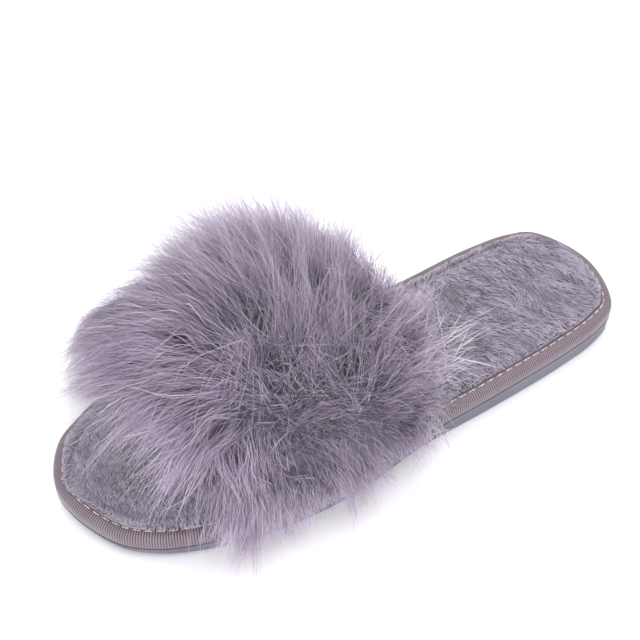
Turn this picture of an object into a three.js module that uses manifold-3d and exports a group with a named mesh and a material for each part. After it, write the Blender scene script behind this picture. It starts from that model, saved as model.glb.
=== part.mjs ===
// A left plush house slipper, open at the toe and at the heel: a foam outsole, a padded footbed
// bound round its edge with tape, and one wide strap covered in deep fur.
// Millimetres, +Z up. The toe points to -Y, the outer (lateral) side is +X, and the floor is z = 0.
// The origin lies on the floor, half way along the sole.
import * as THREE from "three";
import { mergeVertices } from "three/addons/utils/BufferGeometryUtils.js";
import Module from "manifold-3d";

// Last: the sole's length and its widths
const LENGTH = 258;
const BALL_WIDTH = 95.5;
const WAIST_WIDTH = 73.2;
const HEEL_WIDTH = 72;
const TOE_WIDTH = 70;

// Outsole
const HEEL_HEIGHT = 8.6;
const WAIST_HEIGHT = 7.6;
const BALL_HEIGHT = 6.9;
const TOE_HEIGHT = 2;
const TOE_SPRING = 3.2;
const OUTSOLE_INSET = 0.2;
const OUTSOLE_DRAFT = 0.3;
const OUTSOLE_BEVEL = 0.9;
const GROOVE_WIDTH = 2;
const GROOVE_DEPTH = 1.2;
const GROOVE_PITCH = 7.5;
const GROOVE_RIM = 9;
const WAIST_RECESS = 0.8;

// Footbed: foam core, pile cover and the tape folded round both
const CLEARANCE = 0.3;
const TAPE = 1.1;
const BINDING_HEIGHT = 6.8;
const BINDING_LEG = 5.3;
const CORE = 4.2;
const PILE = 5.4;
const PILE_ROUND = 11;

// Strap
const STRAP_WALL = 2.5;
const STRAP_LENGTH = 79;
const HEEL_TO_STRAP = 121;
const MEDIAL_LEAD = 6;
const INSTEP_HEIGHT = 52;
const VAMP_HEIGHT = 43;

// Fur, measured out from the strap
const UNDERCOAT = 11;
const FUR_REAR = 3;
const FUR_FRONT = 9;
const LOCK_LENGTH = 40;
const LOCK_WIDTH = 14;
const LOCK_THICKNESS = 8;
const LOCK_COUNT = 92;
const LOCK_SIDES = 5;
const LOCK_BEND = 0.55;
const LOCK_RISE = 0.5;
const LOCK_LIE = 0.8;
const LOCK_LIFT = 0.6;
const LOCK_ROOT = 0.35;
const LEAN_SPREAD = 0.45;
const LENGTH_SPREAD = 0.15;
const FUR_TO_FLOOR = 1.5;

const STATIONS_PER_ROW = 3;
const HALF = LENGTH / 2;

// The sole's outline from above, heel to toe. along is a share of LENGTH from the heel's back edge,
// lateral and medial are the distances from the centre line, as shares of the width that of names.
const HEEL_TIP = { along: 0, of: HEEL_WIDTH, lateral: 0.014 };
const TOE_TIP = { along: 1, of: TOE_WIDTH, lateral: -0.143 };
const OUTLINE = [
  { along: 0.036, of: HEEL_WIDTH, lateral: 0.393, medial: 0.364 },
  { along: 0.081, of: HEEL_WIDTH, lateral: 0.475, medial: 0.442 },
  { along: 0.172, of: HEEL_WIDTH, lateral: 0.528, medial: 0.471 },
  { along: 0.326, of: WAIST_WIDTH, lateral: 0.556, medial: 0.444 },
  { along: 0.461, of: WAIST_WIDTH, lateral: 0.574, medial: 0.485 },
  { along: 0.612, of: BALL_WIDTH, lateral: 0.497, medial: 0.45 },
  { along: 0.733, of: BALL_WIDTH, lateral: 0.485, medial: 0.497 },
  { along: 0.841, of: BALL_WIDTH, lateral: 0.422, medial: 0.485 },
  { along: 0.919, of: TOE_WIDTH, lateral: 0.447, medial: 0.553 },
  { along: 0.965, of: TOE_WIDTH, lateral: 0.279, medial: 0.437 },
];

// The outsole's side view: the height of its top face above the floor
const SIDE = [
  { along: 0, top: HEEL_HEIGHT },
  { along: 0.22, top: HEEL_HEIGHT },
  { along: 0.46, top: WAIST_HEIGHT },
  { along: 0.7, top: BALL_HEIGHT },
  { along: 1, top: TOE_HEIGHT + TOE_SPRING },
];
const SPRING_START = 0.7;
const SPRING_POWER = 1.8;

// The strap's section seen from the toe, lateral foot to medial foot. across is a share of half the
// strap's width, up a share of its height. The ridge of the instep lies towards the medial side.
const ARCH = [
  { across: 1, up: 0 },
  { across: 1, up: 0.2 },
  { across: 0.94, up: 0.45 },
  { across: 0.76, up: 0.71 },
  { across: 0.44, up: 0.9 },
  { across: 0.02, up: 1 },
  { across: -0.38, up: 0.975 },
  { across: -0.71, up: 0.83 },
  { across: -0.92, up: 0.56 },
  { across: -1, up: 0.25 },
  { across: -1, up: 0 },
];

// How the fur lies round the arch, from the lateral foot (around 0) over the top to the medial foot
// (around 1): the undercoat's thickness and the locks' length as shares, how much longer they are
// at the rear edge, how much of the lean to the rear and to the toe they take, and how much they sag
const FUR_ROUND = [
  { around: 0, under: 0.42, length: 0.28, rearLength: 1.9, rear: 1, toe: 0.1, sag: 0.6 },
  { around: 0.1, under: 0.6, length: 0.4, rearLength: 2.3, rear: 1, toe: 0.2, sag: 0.6 },
  { around: 0.22, under: 0.8, length: 0.62, rearLength: 2, rear: 0.5, toe: 0.55, sag: 0.7 },
  { around: 0.4, under: 0.95, length: 0.96, rearLength: 1.2, rear: 0.1, toe: 0.95, sag: 0.95 },
  { around: 0.55, under: 1, length: 1.14, rearLength: 1, rear: 0, toe: 1, sag: 1.1 },
  { around: 0.78, under: 1, length: 0.95, rearLength: 1, rear: 0, toe: 0.78, sag: 1.7 },
  { around: 1, under: 0.7, length: 0.9, rearLength: 1, rear: 0.2, toe: 0.9, sag: 1.6 },
];

// The same from the strap's rear edge (forward 0) to its front edge (forward 1), with the locks'
// lean towards the toe, the share of their lean round the arch, and how far they droop
const FUR_FORWARD = [
  { forward: 0, under: 0.5, length: 0.44, lean: -0.75, side: 1, droop: 0.25 },
  { forward: 0.2, under: 0.9, length: 0.78, lean: -0.45, side: 1, droop: 0.28 },
  { forward: 0.45, under: 1, length: 1.1, lean: -0.1, side: 1, droop: 0.32 },
  { forward: 0.7, under: 1, length: 1.1, lean: 0.4, side: 0.9, droop: 0.65 },
  { forward: 0.88, under: 0.9, length: 1.12, lean: 0.95, side: 0.6, droop: 1.3 },
  { forward: 1, under: 0.5, length: 1.22, lean: 1.4, side: 0.4, droop: 1.9 },
];

// The part of the strap, from its rear edge, where the locks keep the rear edge's length
const REAR_BAND = 0.35;

// The line above the lateral foot where the fur parts
const PARTING = [
  { forward: 0, around: 0.13 },
  { forward: 0.9, around: 0.26 },
];

// The locks' lean round the arch, by their distance from that line
const FUR_LEAN = [
  { beside: -0.3, lean: -1 },
  { beside: -0.06, lean: -1.2 },
  { beside: 0.02, lean: 0.3 },
  { beside: 0.1, lean: 1.05 },
  { beside: 0.35, lean: 0.85 },
  { beside: 0.55, lean: 0.6 },
  { beside: 0.85, lean: 0.8 },
];

// Reads one column of a table at a place between its rows, on a smooth curve without overshoot.
function read(rows, key, column, at) {
  const last = rows.length - 1;
  let i = 0;
  while (i < last - 1 && at > rows[i + 1][key]) i += 1;
  const slope = (a) => {
    if (a < 0 || a >= last) return 0;
    return (rows[a + 1][column] - rows[a][column]) / (rows[a + 1][key] - rows[a][key]);
  };
  const tangent = (a) => {
    const [before, after] = [slope(a - 1), slope(a)];
    return before * after > 0 ? (2 * before * after) / (before + after) : 0;
  };
  const span = rows[i + 1][key] - rows[i][key];
  const t = THREE.MathUtils.clamp((at - rows[i][key]) / span, 0, 1);
  const [t2, t3] = [t * t, t * t * t];
  return (
    (2 * t3 - 3 * t2 + 1) * rows[i][column] +
    (t3 - 2 * t2 + t) * span * tangent(i) +
    (3 * t2 - 2 * t3) * rows[i + 1][column] +
    (t3 - t2) * span * tangent(i + 1)
  );
}

const alongOf = (y) => THREE.MathUtils.clamp((HALF - y) / LENGTH, 0, 1);

// Height of the outsole's underside, which lifts from the ball to the toe
function underside(y) {
  const beyond = Math.max(0, alongOf(y) - SPRING_START) / (1 - SPRING_START);
  return TOE_SPRING * beyond ** SPRING_POWER;
}

const outsoleTop = (y) => read(SIDE, "along", "top", alongOf(y));

// Height of a layer of the footbed above the outsole
const layer = (rise) => (y) => outsoleTop(y) + CLEARANCE + rise;

const outlinePlace = (row, across) => new THREE.Vector3(across * row.of, HALF - row.along * LENGTH, 0);

const outline = new THREE.CatmullRomCurve3(
  [
    outlinePlace(HEEL_TIP, HEEL_TIP.lateral),
    ...OUTLINE.map((row) => outlinePlace(row, row.lateral)),
    outlinePlace(TOE_TIP, TOE_TIP.lateral),
    ...OUTLINE.toReversed().map((row) => outlinePlace(row, -row.medial)),
  ],
  true,
  "centripetal",
);
const STATIONS = STATIONS_PER_ROW * outline.points.length;
const stations = Array.from({ length: STATIONS }, (_, k) => {
  const tangent = outline.getTangent(k / STATIONS);
  return { place: outline.getPoint(k / STATIONS), inward: new THREE.Vector3(tangent.y, -tangent.x, 0) };
});

// The closed ring that lies a distance inside the outline, at a height worked out from y
function ring(inset, height) {
  return stations.map(({ place, inward }) => {
    const point = place.clone().addScaledVector(inward, inset);
    return point.setZ(height(point.y));
  });
}

// Collects vertices and triangles, and gives them back as a geometry
class Mesher {
  vertices = [];
  triangles = [];

  add(points) {
    const first = this.vertices.length;
    this.vertices.push(...points);
    return first;
  }

  quad(a, b, c, d) {
    this.triangles.push(a, b, c, a, c, d);
  }

  geometry() {
    const flat = this.vertices.flatMap((p) => [p.x, p.y, p.z]);
    const geometry = new THREE.BufferGeometry();
    geometry.setAttribute("position", new THREE.Float32BufferAttribute(flat, 3));
    geometry.setIndex(this.triangles);
    return geometry;
  }
}

function skinRings(mesher, rings, loop) {
  const firsts = rings.map((points) => mesher.add(points));
  const count = rings[0].length;
  const pairs = loop ? rings.length : rings.length - 1;
  for (let i = 0; i < pairs; i += 1) {
    const [low, high] = [firsts[i], firsts[(i + 1) % rings.length]];
    for (let k = 0; k < count; k += 1) {
      const next = (k + 1) % count;
      mesher.quad(low + k, high + k, high + next, low + next);
    }
  }
  return firsts;
}

// Closes a ring of the sole with rungs from its lateral to its medial side
function capSole(mesher, first, upwards) {
  for (let k = 0; k < STATIONS / 2; k += 1) {
    const lateral = [first + k, first + k + 1];
    const medial = [first + ((STATIONS - k) % STATIONS), first + STATIONS - k - 1];
    const corners = [...new Set([lateral[0], medial[0], medial[1], lateral[1]])];
    if (!upwards) corners.reverse();
    for (let c = 2; c < corners.length; c += 1) {
      mesher.triangles.push(corners[0], corners[c - 1], corners[c]);
    }
  }
}

// A slab of the sole from its rings, lowest first
function slab(rings) {
  const mesher = new Mesher();
  const firsts = skinRings(mesher, rings, false);
  capSole(mesher, firsts[0], false);
  capSole(mesher, firsts.at(-1), true);
  return mesher.geometry();
}

// A curved sheet with a wall, from the points of its outer and its inner face
function sheet(outer, inner, columns, rows) {
  const mesher = new Mesher();
  const grid = (face) => {
    const points = [];
    for (let j = 0; j <= rows; j += 1) {
      for (let i = 0; i <= columns; i += 1) points.push(face(i / columns, j / rows));
    }
    const first = mesher.add(points);
    return (i, j) => first + j * (columns + 1) + i;
  };
  const [out, into] = [grid(outer), grid(inner)];
  for (let j = 0; j < rows; j += 1) {
    for (let i = 0; i < columns; i += 1) {
      mesher.quad(out(i, j), out(i + 1, j), out(i + 1, j + 1), out(i, j + 1));
      mesher.quad(into(i, j), into(i, j + 1), into(i + 1, j + 1), into(i + 1, j));
    }
    mesher.quad(out(0, j), out(0, j + 1), into(0, j + 1), into(0, j));
    mesher.quad(out(columns, j), into(columns, j), into(columns, j + 1), out(columns, j + 1));
  }
  for (let i = 0; i < columns; i += 1) {
    mesher.quad(out(i, 0), into(i, 0), into(i + 1, 0), out(i + 1, 0));
    mesher.quad(out(i, rows), out(i + 1, rows), into(i + 1, rows), into(i, rows));
  }
  return mesher.geometry();
}

const wasm = await Module();
wasm.setup();

function solidOf(geometry) {
  const bare = geometry.index ? geometry.toNonIndexed() : geometry.clone();
  bare.deleteAttribute("normal");
  bare.deleteAttribute("uv");
  const merged = mergeVertices(bare, 1e-4);
  const vertProperties = Float32Array.from(merged.attributes.position.array);
  const triVerts = Uint32Array.from(merged.index.array);
  return new wasm.Manifold(new wasm.Mesh({ numProp: 3, vertProperties, triVerts }));
}

function geometryOf(solid) {
  const mesh = solid.getMesh();
  const geometry = new THREE.BufferGeometry();
  geometry.setAttribute("position", new THREE.BufferAttribute(mesh.vertProperties, 3));
  geometry.setIndex(new THREE.BufferAttribute(mesh.triVerts, 1));
  return geometry;
}

// The x of the lateral (side 1) or medial (side -1) edge of a ring, where it crosses a given y
function crossing(points, side, y) {
  const [from, to] = side > 0 ? [0, STATIONS / 2] : [STATIONS / 2, STATIONS];
  for (let k = from; k < to; k += 1) {
    const [a, b] = [points[k], points[(k + 1) % STATIONS]];
    if ((a.y - y) * (b.y - y) <= 0 && a.y !== b.y) {
      return THREE.MathUtils.lerp(a.x, b.x, (y - a.y) / (b.y - a.y));
    }
  }
  return 0;
}

// Outsole: side with a slight draft, a bevelled lower edge, a recess under the waist and
// cross grooves under the heel and the forefoot
function outsole() {
  const bevelInset = OUTSOLE_INSET + OUTSOLE_DRAFT;
  const edge = (share) => (y) => THREE.MathUtils.lerp(underside(y), outsoleTop(y), share);
  const bevelShare = 0.22;
  const body = slab([
    ring(bevelInset + OUTSOLE_BEVEL, underside),
    ring(bevelInset, edge(bevelShare)),
    ring(OUTSOLE_INSET, outsoleTop),
  ]);
  let solid = solidOf(body);
  for (const cut of [waistRecess(), ...grooves()]) solid = solid.subtract(solidOf(cut));
  return geometryOf(solid);
}

const FOREFOOT_TREAD = { from: 0.63, to: 0.92 };
const HEEL_TREAD = { from: 0.07, to: 0.3 };
const RECESS = { from: 0.33, to: 0.47 };

// A bar across the sole, from below the floor up to a depth above the underside
function crossBar(y, length, depth) {
  const rim = ring(GROOVE_RIM, underside);
  const ends = [crossing(rim, 1, y), crossing(rim, -1, y)];
  const height = 2 * (underside(y) + depth);
  const bar = new THREE.BoxGeometry(ends[0] - ends[1], length, height);
  return bar.translate((ends[0] + ends[1]) / 2, y, 0);
}

function grooves() {
  return [HEEL_TREAD, FOREFOOT_TREAD].flatMap(({ from, to }) => {
    const count = Math.floor(((to - from) * LENGTH) / GROOVE_PITCH) + 1;
    const first = HALF - from * LENGTH;
    const places = Array.from({ length: count }, (_, i) => first - i * GROOVE_PITCH);
    return places.map((y) => crossBar(y, GROOVE_WIDTH, GROOVE_DEPTH));
  });
}

function waistRecess() {
  const middle = (RECESS.from + RECESS.to) / 2;
  return crossBar(HALF - middle * LENGTH, (RECESS.to - RECESS.from) * LENGTH, WAIST_RECESS);
}

// Binding: tape folded round the footbed's edge, a ring with a C section. inset and rise in
// millimetres, from the outline and from the footbed's underside
function binding() {
  const bend = 2.4;
  const top = BINDING_HEIGHT;
  const sag = 0.35;
  const section = [
    [BINDING_LEG, 0],
    [bend / 2, 0],
    [0, bend],
    [0, top - bend],
    [bend / 4, top - bend / 3],
    [bend, top],
    [BINDING_LEG, top - sag],
    [BINDING_LEG, top - sag - TAPE],
    [bend, top - TAPE],
    [TAPE, top - bend],
    [TAPE, TAPE],
    [BINDING_LEG, TAPE],
  ];
  const mesher = new Mesher();
  skinRings(mesher, section.map(([inset, rise]) => ring(inset, layer(rise))), true);
  return mesher.geometry();
}

const BED_EDGE = BINDING_LEG + CLEARANCE;

// Foam core of the footbed, stepped round its lower edge where the tape folds under
function insole() {
  const edge = TAPE + 2 * CLEARANCE;
  const step = TAPE + CLEARANCE;
  return slab([
    ring(BED_EDGE, layer(0)),
    ring(BED_EDGE, layer(step)),
    ring(edge + TAPE / 2, layer(step)),
    ring(edge, layer(step + TAPE)),
    ring(edge, layer(CORE)),
  ]);
}

// Pile cover: thin where the tape holds it down, then rising in a rounded shoulder
function insolePlush() {
  const edge = TAPE + 2 * CLEARANCE;
  const base = CORE + CLEARANCE;
  const held = (base + BINDING_HEIGHT - TAPE - 2 * CLEARANCE) / 2;
  const shoulder = [
    { inset: 0, rise: 0.42 },
    { inset: 0.12, rise: 0.66 },
    { inset: 0.45, rise: 0.91 },
    { inset: 1, rise: 1 },
  ];
  const body = slab([
    ring(BED_EDGE, layer(base)),
    ring(edge, layer(base)),
    ring(edge + CLEARANCE, layer(held)),
    ring(BED_EDGE, layer(held)),
    ...shoulder.map(({ inset, rise }) => ring(BED_EDGE + inset * PILE_ROUND, layer(base + rise * PILE))),
  ]);
  const slot = strapSheet(-CLEARANCE, STRAP_WALL + CLEARANCE, CLEARANCE / STRAP_LENGTH, -CORE / 4);
  return geometryOf(solidOf(body).subtract(solidOf(slot)));
}

const archCurve = new THREE.CatmullRomCurve3(
  ARCH.map(({ across, up }) => new THREE.Vector3(across, 0, up)),
  false,
  "centripetal",
);
const footRing = ring(BED_EDGE + STRAP_WALL + CLEARANCE / 2, outsoleTop);

// A point of the strap's inner face: around from the lateral foot (0) over the top to the medial
// foot (1), forward from the rear edge (0) to the front edge (1)
function strapPoint(around, forward, sink = 0) {
  const y = HALF - HEEL_TO_STRAP - STRAP_LENGTH * forward - MEDIAL_LEAD * around;
  const [lateral, medial] = [crossing(footRing, 1, y), crossing(footRing, -1, y)];
  const { x: across, z: up } = archCurve.getPoint(THREE.MathUtils.clamp(around, 0, 1));
  const height = THREE.MathUtils.lerp(INSTEP_HEIGHT, VAMP_HEIGHT, forward);
  const floor = layer(CORE + CLEARANCE)(y);
  const foot = up === 0 ? sink : 0;
  return new THREE.Vector3(
    (lateral + medial) / 2 + (across * (lateral - medial)) / 2,
    y,
    floor + up * height + foot,
  );
}

function strapNormal(around, forward) {
  const step = 1e-3;
  const [a0, a1] = [Math.max(0, around - step), Math.min(1, around + step)];
  const round = strapPoint(a1, forward).sub(strapPoint(a0, forward));
  const ahead = strapPoint(around, forward + step).sub(strapPoint(around, forward - step));
  return round.cross(ahead).normalize();
}

function strapOffset(around, forward, distance, sink = 0) {
  return strapPoint(around, forward, sink).addScaledVector(strapNormal(around, forward), distance);
}

const STRAP_COLUMNS = 28;
const STRAP_ROWS = 7;
const FUR_COLUMNS = 22;
const FUR_ROWS = 6;

// The strap between two distances from its inner face, longer than the strap by a share at each end
function strapSheet(from, to, beyond, sink) {
  const stretch = (forward) => THREE.MathUtils.lerp(-beyond, 1 + beyond, forward);
  return sheet(
    (around, forward) => strapOffset(around, stretch(forward), to, sink),
    (around, forward) => strapOffset(around, stretch(forward), from, sink),
    STRAP_COLUMNS,
    STRAP_ROWS,
  );
}

// What the fur stays clear of: the sole with its footbed, and the strap with the space under it
function soleEnvelope() {
  const above = BINDING_HEIGHT + CLEARANCE;
  const pile = CORE + PILE + 3 * CLEARANCE;
  return slab([
    ring(-CLEARANCE, () => -CLEARANCE),
    ring(-CLEARANCE, layer(above)),
    ring(BINDING_LEG, layer(above)),
    ring(BINDING_LEG + PILE_ROUND / 4, layer(pile)),
  ]);
}

function footSpace() {
  const beyond = (FUR_FRONT + LOCK_LENGTH) / STRAP_LENGTH;
  const stretch = (forward) => THREE.MathUtils.lerp(-beyond, 1 + beyond, forward);
  const face = (around, forward) => strapOffset(around, stretch(forward), STRAP_WALL + 2 * CLEARANCE);
  const floor = (around, forward) => {
    const point = face(around, forward);
    const middle = (face(0, forward).x + face(1, forward).x) / 2;
    return new THREE.Vector3(THREE.MathUtils.lerp(point.x, middle, 0.5), point.y, 0);
  };
  return sheet(face, floor, STRAP_COLUMNS, 2 * STRAP_ROWS);
}

// The floor, as the fur's lowest locks meet it
function floorSpace() {
  const size = 2 * LENGTH;
  return new THREE.BoxGeometry(size, size, LENGTH).translate(0, 0, FUR_TO_FLOOR - LENGTH / 2);
}

const EDGE_SHARE = 0.06;

// Thickness of the undercoat, the dense bed of the fur, rounded over the strap's edges
function undercoatDepth(around, forward) {
  const bulge = Math.sin(Math.PI * THREE.MathUtils.clamp(forward, EDGE_SHARE, 1 - EDGE_SHARE)) ** 0.45;
  const round = read(FUR_ROUND, "around", "under", around);
  return UNDERCOAT * round * read(FUR_FORWARD, "forward", "under", forward) * bulge;
}

function undercoat() {
  const [rear, front] = [-FUR_REAR / STRAP_LENGTH, 1 + FUR_FRONT / STRAP_LENGTH];
  const stretch = (forward) => THREE.MathUtils.lerp(rear, front, forward);
  const depth = (around, forward) => STRAP_WALL + CLEARANCE + undercoatDepth(around, forward);
  return sheet(
    (around, forward) => strapOffset(around, stretch(forward), depth(around, forward)),
    (around, forward) => strapOffset(around, stretch(forward), STRAP_WALL / 2),
    FUR_COLUMNS,
    FUR_ROWS,
  );
}

// Width of a lock along its length, as shares
const LOCK_TAPER = [
  { along: 0, width: 0.8 },
  { along: 0.42, width: 1 },
  { along: 0.78, width: 0.55 },
];

// How far the fur leans towards the toe and round the arch, against its rise from the strap
function lockLean(around, forward) {
  const ahead = read(FUR_FORWARD, "forward", "lean", forward);
  const taken = read(FUR_ROUND, "around", ahead < 0 ? "rear" : "toe", around);
  const beside = around - read(PARTING, "forward", "around", forward);
  const side = read(FUR_FORWARD, "forward", "side", forward);
  return [ahead * taken, read(FUR_LEAN, "beside", "lean", beside) * side];
}

function lockLength(around, forward) {
  const share = read(FUR_ROUND, "around", "length", around) * read(FUR_FORWARD, "forward", "length", forward);
  const rearShare = read(FUR_ROUND, "around", "rearLength", around);
  const rearness = THREE.MathUtils.clamp(1 - forward / REAR_BAND, 0, 1);
  return LOCK_LENGTH * share * THREE.MathUtils.lerp(1, rearShare, rearness);
}

// One lock: a bent horn with a flat oval section, from its root in the undercoat to its tip.
// vary, from -1 to 1, makes neighbours differ
function lock(around, forward, vary) {
  const normal = strapNormal(around, forward);
  const step = 0.01;
  const ahead = strapPoint(around, forward + step).sub(strapPoint(around, forward - step)).normalize();
  const round = ahead.clone().cross(normal);
  const [leanAhead, leanRound] = lockLean(around, forward);
  const lean = new THREE.Vector3()
    .addScaledVector(ahead, leanAhead - LEAN_SPREAD * vary)
    .addScaledVector(round, leanRound + LEAN_SPREAD * vary);
  const rise = normal.clone().addScaledVector(lean, LOCK_RISE).normalize();
  const fall = normal.clone().multiplyScalar(LOCK_LIFT).addScaledVector(lean, LOCK_LIE);
  const droop = read(FUR_FORWARD, "forward", "droop", forward) * read(FUR_ROUND, "around", "sag", around);
  fall.setZ(fall.z - droop).normalize();
  const length = lockLength(around, forward) * (1 + LENGTH_SPREAD * vary);
  const depth = LOCK_ROOT * undercoatDepth(around, forward);
  const root = strapOffset(around, forward, STRAP_WALL + depth);
  const bend = root.clone().addScaledVector(rise, LOCK_BEND * length);
  const tipPlace = bend.clone().addScaledVector(fall, (1 - LOCK_BEND) * length);
  const spine = new THREE.QuadraticBezierCurve3(root, bend, tipPlace);
  const wide = rise.clone().cross(fall).normalize();
  if (wide.lengthSq() < 0.5) wide.copy(round);
  const mesher = new Mesher();
  const rings = LOCK_TAPER.map(({ along, width }) => {
    const centre = spine.getPoint(along);
    const thin = wide.clone().cross(spine.getTangent(along)).normalize();
    return Array.from({ length: LOCK_SIDES }, (_, k) => {
      const turn = (2 * Math.PI * k) / LOCK_SIDES;
      return centre
        .clone()
        .addScaledVector(wide, (Math.cos(turn) * width * LOCK_WIDTH) / 2)
        .addScaledVector(thin, (Math.sin(turn) * width * LOCK_THICKNESS) / 2);
    });
  });
  const firsts = skinRings(mesher, rings, false);
  const tip = mesher.add([spine.getPoint(1)]);
  const last = firsts.at(-1);
  for (let k = 0; k < LOCK_SIDES; k += 1) {
    mesher.triangles.push(last + k, tip, last + ((k + 1) % LOCK_SIDES));
  }
  for (let k = 2; k < LOCK_SIDES; k += 1) {
    mesher.triangles.push(firsts[0], firsts[0] + k - 1, firsts[0] + k);
  }
  return mesher.geometry();
}

// Fur: the undercoat with the locks fused on, cut clear of the sole and of the strap. The locks'
// roots are spread evenly over the strap by steps of the golden ratio
function strapFur() {
  const golden = (Math.sqrt(5) - 1) / 2;
  const [rear, front] = [FUR_REAR / STRAP_LENGTH / 2, FUR_FRONT / STRAP_LENGTH / 2];
  const footShare = 0.03;
  const varyStep = 7.3;
  let solid = solidOf(undercoat());
  for (let i = 0; i < LOCK_COUNT; i += 1) {
    const around = THREE.MathUtils.lerp(footShare, 1 - footShare, (i * golden) % 1);
    const forward = THREE.MathUtils.lerp(-rear, 1 + front, (i + 0.5) / LOCK_COUNT);
    const vary = 2 * ((i * golden * varyStep) % 1) - 1;
    solid = solid.add(solidOf(lock(around, forward, vary)));
  }
  for (const space of [footSpace(), soleEnvelope(), floorSpace()]) {
    solid = solid.subtract(solidOf(space));
  }
  const pieces = solid.decompose();
  return geometryOf(pieces.sort((a, b) => b.volume() - a.volume())[0]);
}

function piece(name, geometry, color, roughness) {
  const mesh = new THREE.Mesh(geometry, new THREE.MeshStandardMaterial({ color, roughness, metalness: 0 }));
  mesh.name = name;
  return mesh;
}

const slipper = new THREE.Group();
slipper.add(
  piece("outsole", outsole(), "#8c93a3", 0.75),
  piece("insole", insole(), "#b9b3a8", 0.9),
  piece("insole_plush", insolePlush(), "#9a97a3", 0.95),
  piece("binding", binding(), "#8f8189", 0.8),
  piece("strap", strapSheet(0, STRAP_WALL, 0, 0), "#958f9c", 0.9),
  piece("strap_fur", strapFur(), "#9c95a3", 0.95),
);

export default slipper;
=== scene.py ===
"""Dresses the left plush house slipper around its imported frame.

A smooth foam outsole, a ribbed edge tape with its stitches, a brushed pile footbed, the strap's
lining and the deep fur on it, on a pale floor under soft studio light.
"""
import logging
import math
from collections.abc import Callable, Sequence
from dataclasses import dataclass, field
from enum import Enum

import bmesh
import bpy
import numpy as np
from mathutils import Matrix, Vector


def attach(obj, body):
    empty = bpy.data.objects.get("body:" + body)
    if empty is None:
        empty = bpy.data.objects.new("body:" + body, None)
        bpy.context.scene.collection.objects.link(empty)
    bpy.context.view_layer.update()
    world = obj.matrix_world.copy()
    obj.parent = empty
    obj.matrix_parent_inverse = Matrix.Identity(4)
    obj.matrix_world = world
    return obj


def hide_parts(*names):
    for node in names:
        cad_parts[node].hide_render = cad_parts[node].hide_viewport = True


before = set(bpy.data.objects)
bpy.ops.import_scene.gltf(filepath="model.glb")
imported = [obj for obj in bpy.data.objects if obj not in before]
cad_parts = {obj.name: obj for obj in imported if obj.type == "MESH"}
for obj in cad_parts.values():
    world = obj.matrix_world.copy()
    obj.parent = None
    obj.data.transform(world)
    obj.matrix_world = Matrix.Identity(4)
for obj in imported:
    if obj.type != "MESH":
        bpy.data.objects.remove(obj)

log = logging.getLogger("slipper")
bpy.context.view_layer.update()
MM = 0.001
BODY = "root"
SEED = 1414
TAPE_MAP = "tape"
HAIR_MAP = "hair"
# Places that a length along the outline is measured at
FINE_STEPS = 4001
# A wave texture draws this many bands in one unit at scale 1
WAVE_TURN = 20 / math.tau
# Places along a line that the fur follows, how its gathering grows with them, and the share of the
# fur's overhang where hairs still root
GUIDE = np.linspace(0, 1, 9)[None, :, None]
THICKEST = 0.3  # where along its length a hair is thickest
GATHER = 1.3
OVERHANG = 0.75

Array = np.ndarray
Height = Callable[[Array], Array]
Table = tuple[tuple[float, float], ...]
Colour = tuple[float, float, float, float]
Mesh = bpy.types.Mesh
Node = bpy.types.Node
Object = bpy.types.Object
Socket = bpy.types.NodeSocket
Tree = bpy.types.NodeTree


class Side(Enum):
    """The two long edges of the sole, by the sign of x on a left foot."""

    LATERAL = 1
    MEDIAL = -1


# Curves and fields

def unit(vectors: Array) -> Array:
    """Scales vectors along the last axis to length 1."""
    return vectors / np.maximum(np.linalg.norm(vectors, axis=-1, keepdims=True), 1e-9)


def hermite(t: Array, start: Array, leave: Array, end: Array, arrive: Array) -> Array:
    """A cubic from one value to another, with the slopes it leaves and arrives with."""
    return (
        (2 * t**3 - 3 * t**2 + 1) * start
        + (t**3 - 2 * t**2 + t) * leave
        + (3 * t**2 - 2 * t**3) * end
        + (t**3 - t**2) * arrive
    )


def read(rows: Sequence[tuple[float, float]], at: Array | float) -> Array:
    """Reads a table between its rows on a smooth curve without overshoot.

    Args:
        rows: (place, value) pairs in rising order of place.
        at: the places to read.

    Returns:
        The values, flat beyond the first and the last row.
    """
    places, values = np.array(rows, float).T
    slopes = np.diff(values) / np.diff(places)
    before, after = slopes[:-1], slopes[1:]
    agree = before * after > 0
    inner = np.where(agree, 2 * before * after / np.where(agree, before + after, 1), 0)
    tangents = np.concatenate([[0], inner, [0]])
    at = np.clip(np.asarray(at, float), places[0], places[-1])
    i = np.clip(np.searchsorted(places, at, side="right") - 1, 0, len(places) - 2)
    span = places[i + 1] - places[i]
    leave, arrive = span * tangents[i], span * tangents[i + 1]
    return hermite((at - places[i]) / span, values[i], leave, values[i + 1], arrive)


def centripetal(points: Array, at: Array, closed: bool) -> Array:
    """Reads a centripetal Catmull-Rom curve.

    Args:
        points: its control points, one a row.
        at: places along it, from 0 to 1, with the control points evenly spaced.
        closed: whether it runs back to its first point.

    Returns:
        One point a row for each place.
    """
    count = len(points)
    if closed:
        padded = np.concatenate([points[-1:], points, points[:2]])
        place = (at % 1) * count
    else:
        padded = np.concatenate([2 * points[:1] - points[1:2], points, 2 * points[-1:] - points[-2:-1]])
        place = np.clip(at, 0, 1) * (count - 1)
    i = np.minimum(place.astype(int), (count if closed else count - 1) - 1)
    p0, p1, p2, p3 = near = [padded[i + k] for k in range(4)]
    steps = [np.linalg.norm(b - a, axis=1, keepdims=True) for a, b in zip(near, near[1:], strict=False)]
    d0, d1, d2 = (np.sqrt(step) for step in steps)
    m1 = ((p1 - p0) / d0 - (p2 - p0) / (d0 + d1) + (p2 - p1) / d1) * d1
    m2 = ((p2 - p1) / d1 - (p3 - p1) / (d1 + d2) + (p3 - p2) / d2) * d1
    return hermite((place - i)[:, None], p1, m1, p2, m2)


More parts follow.
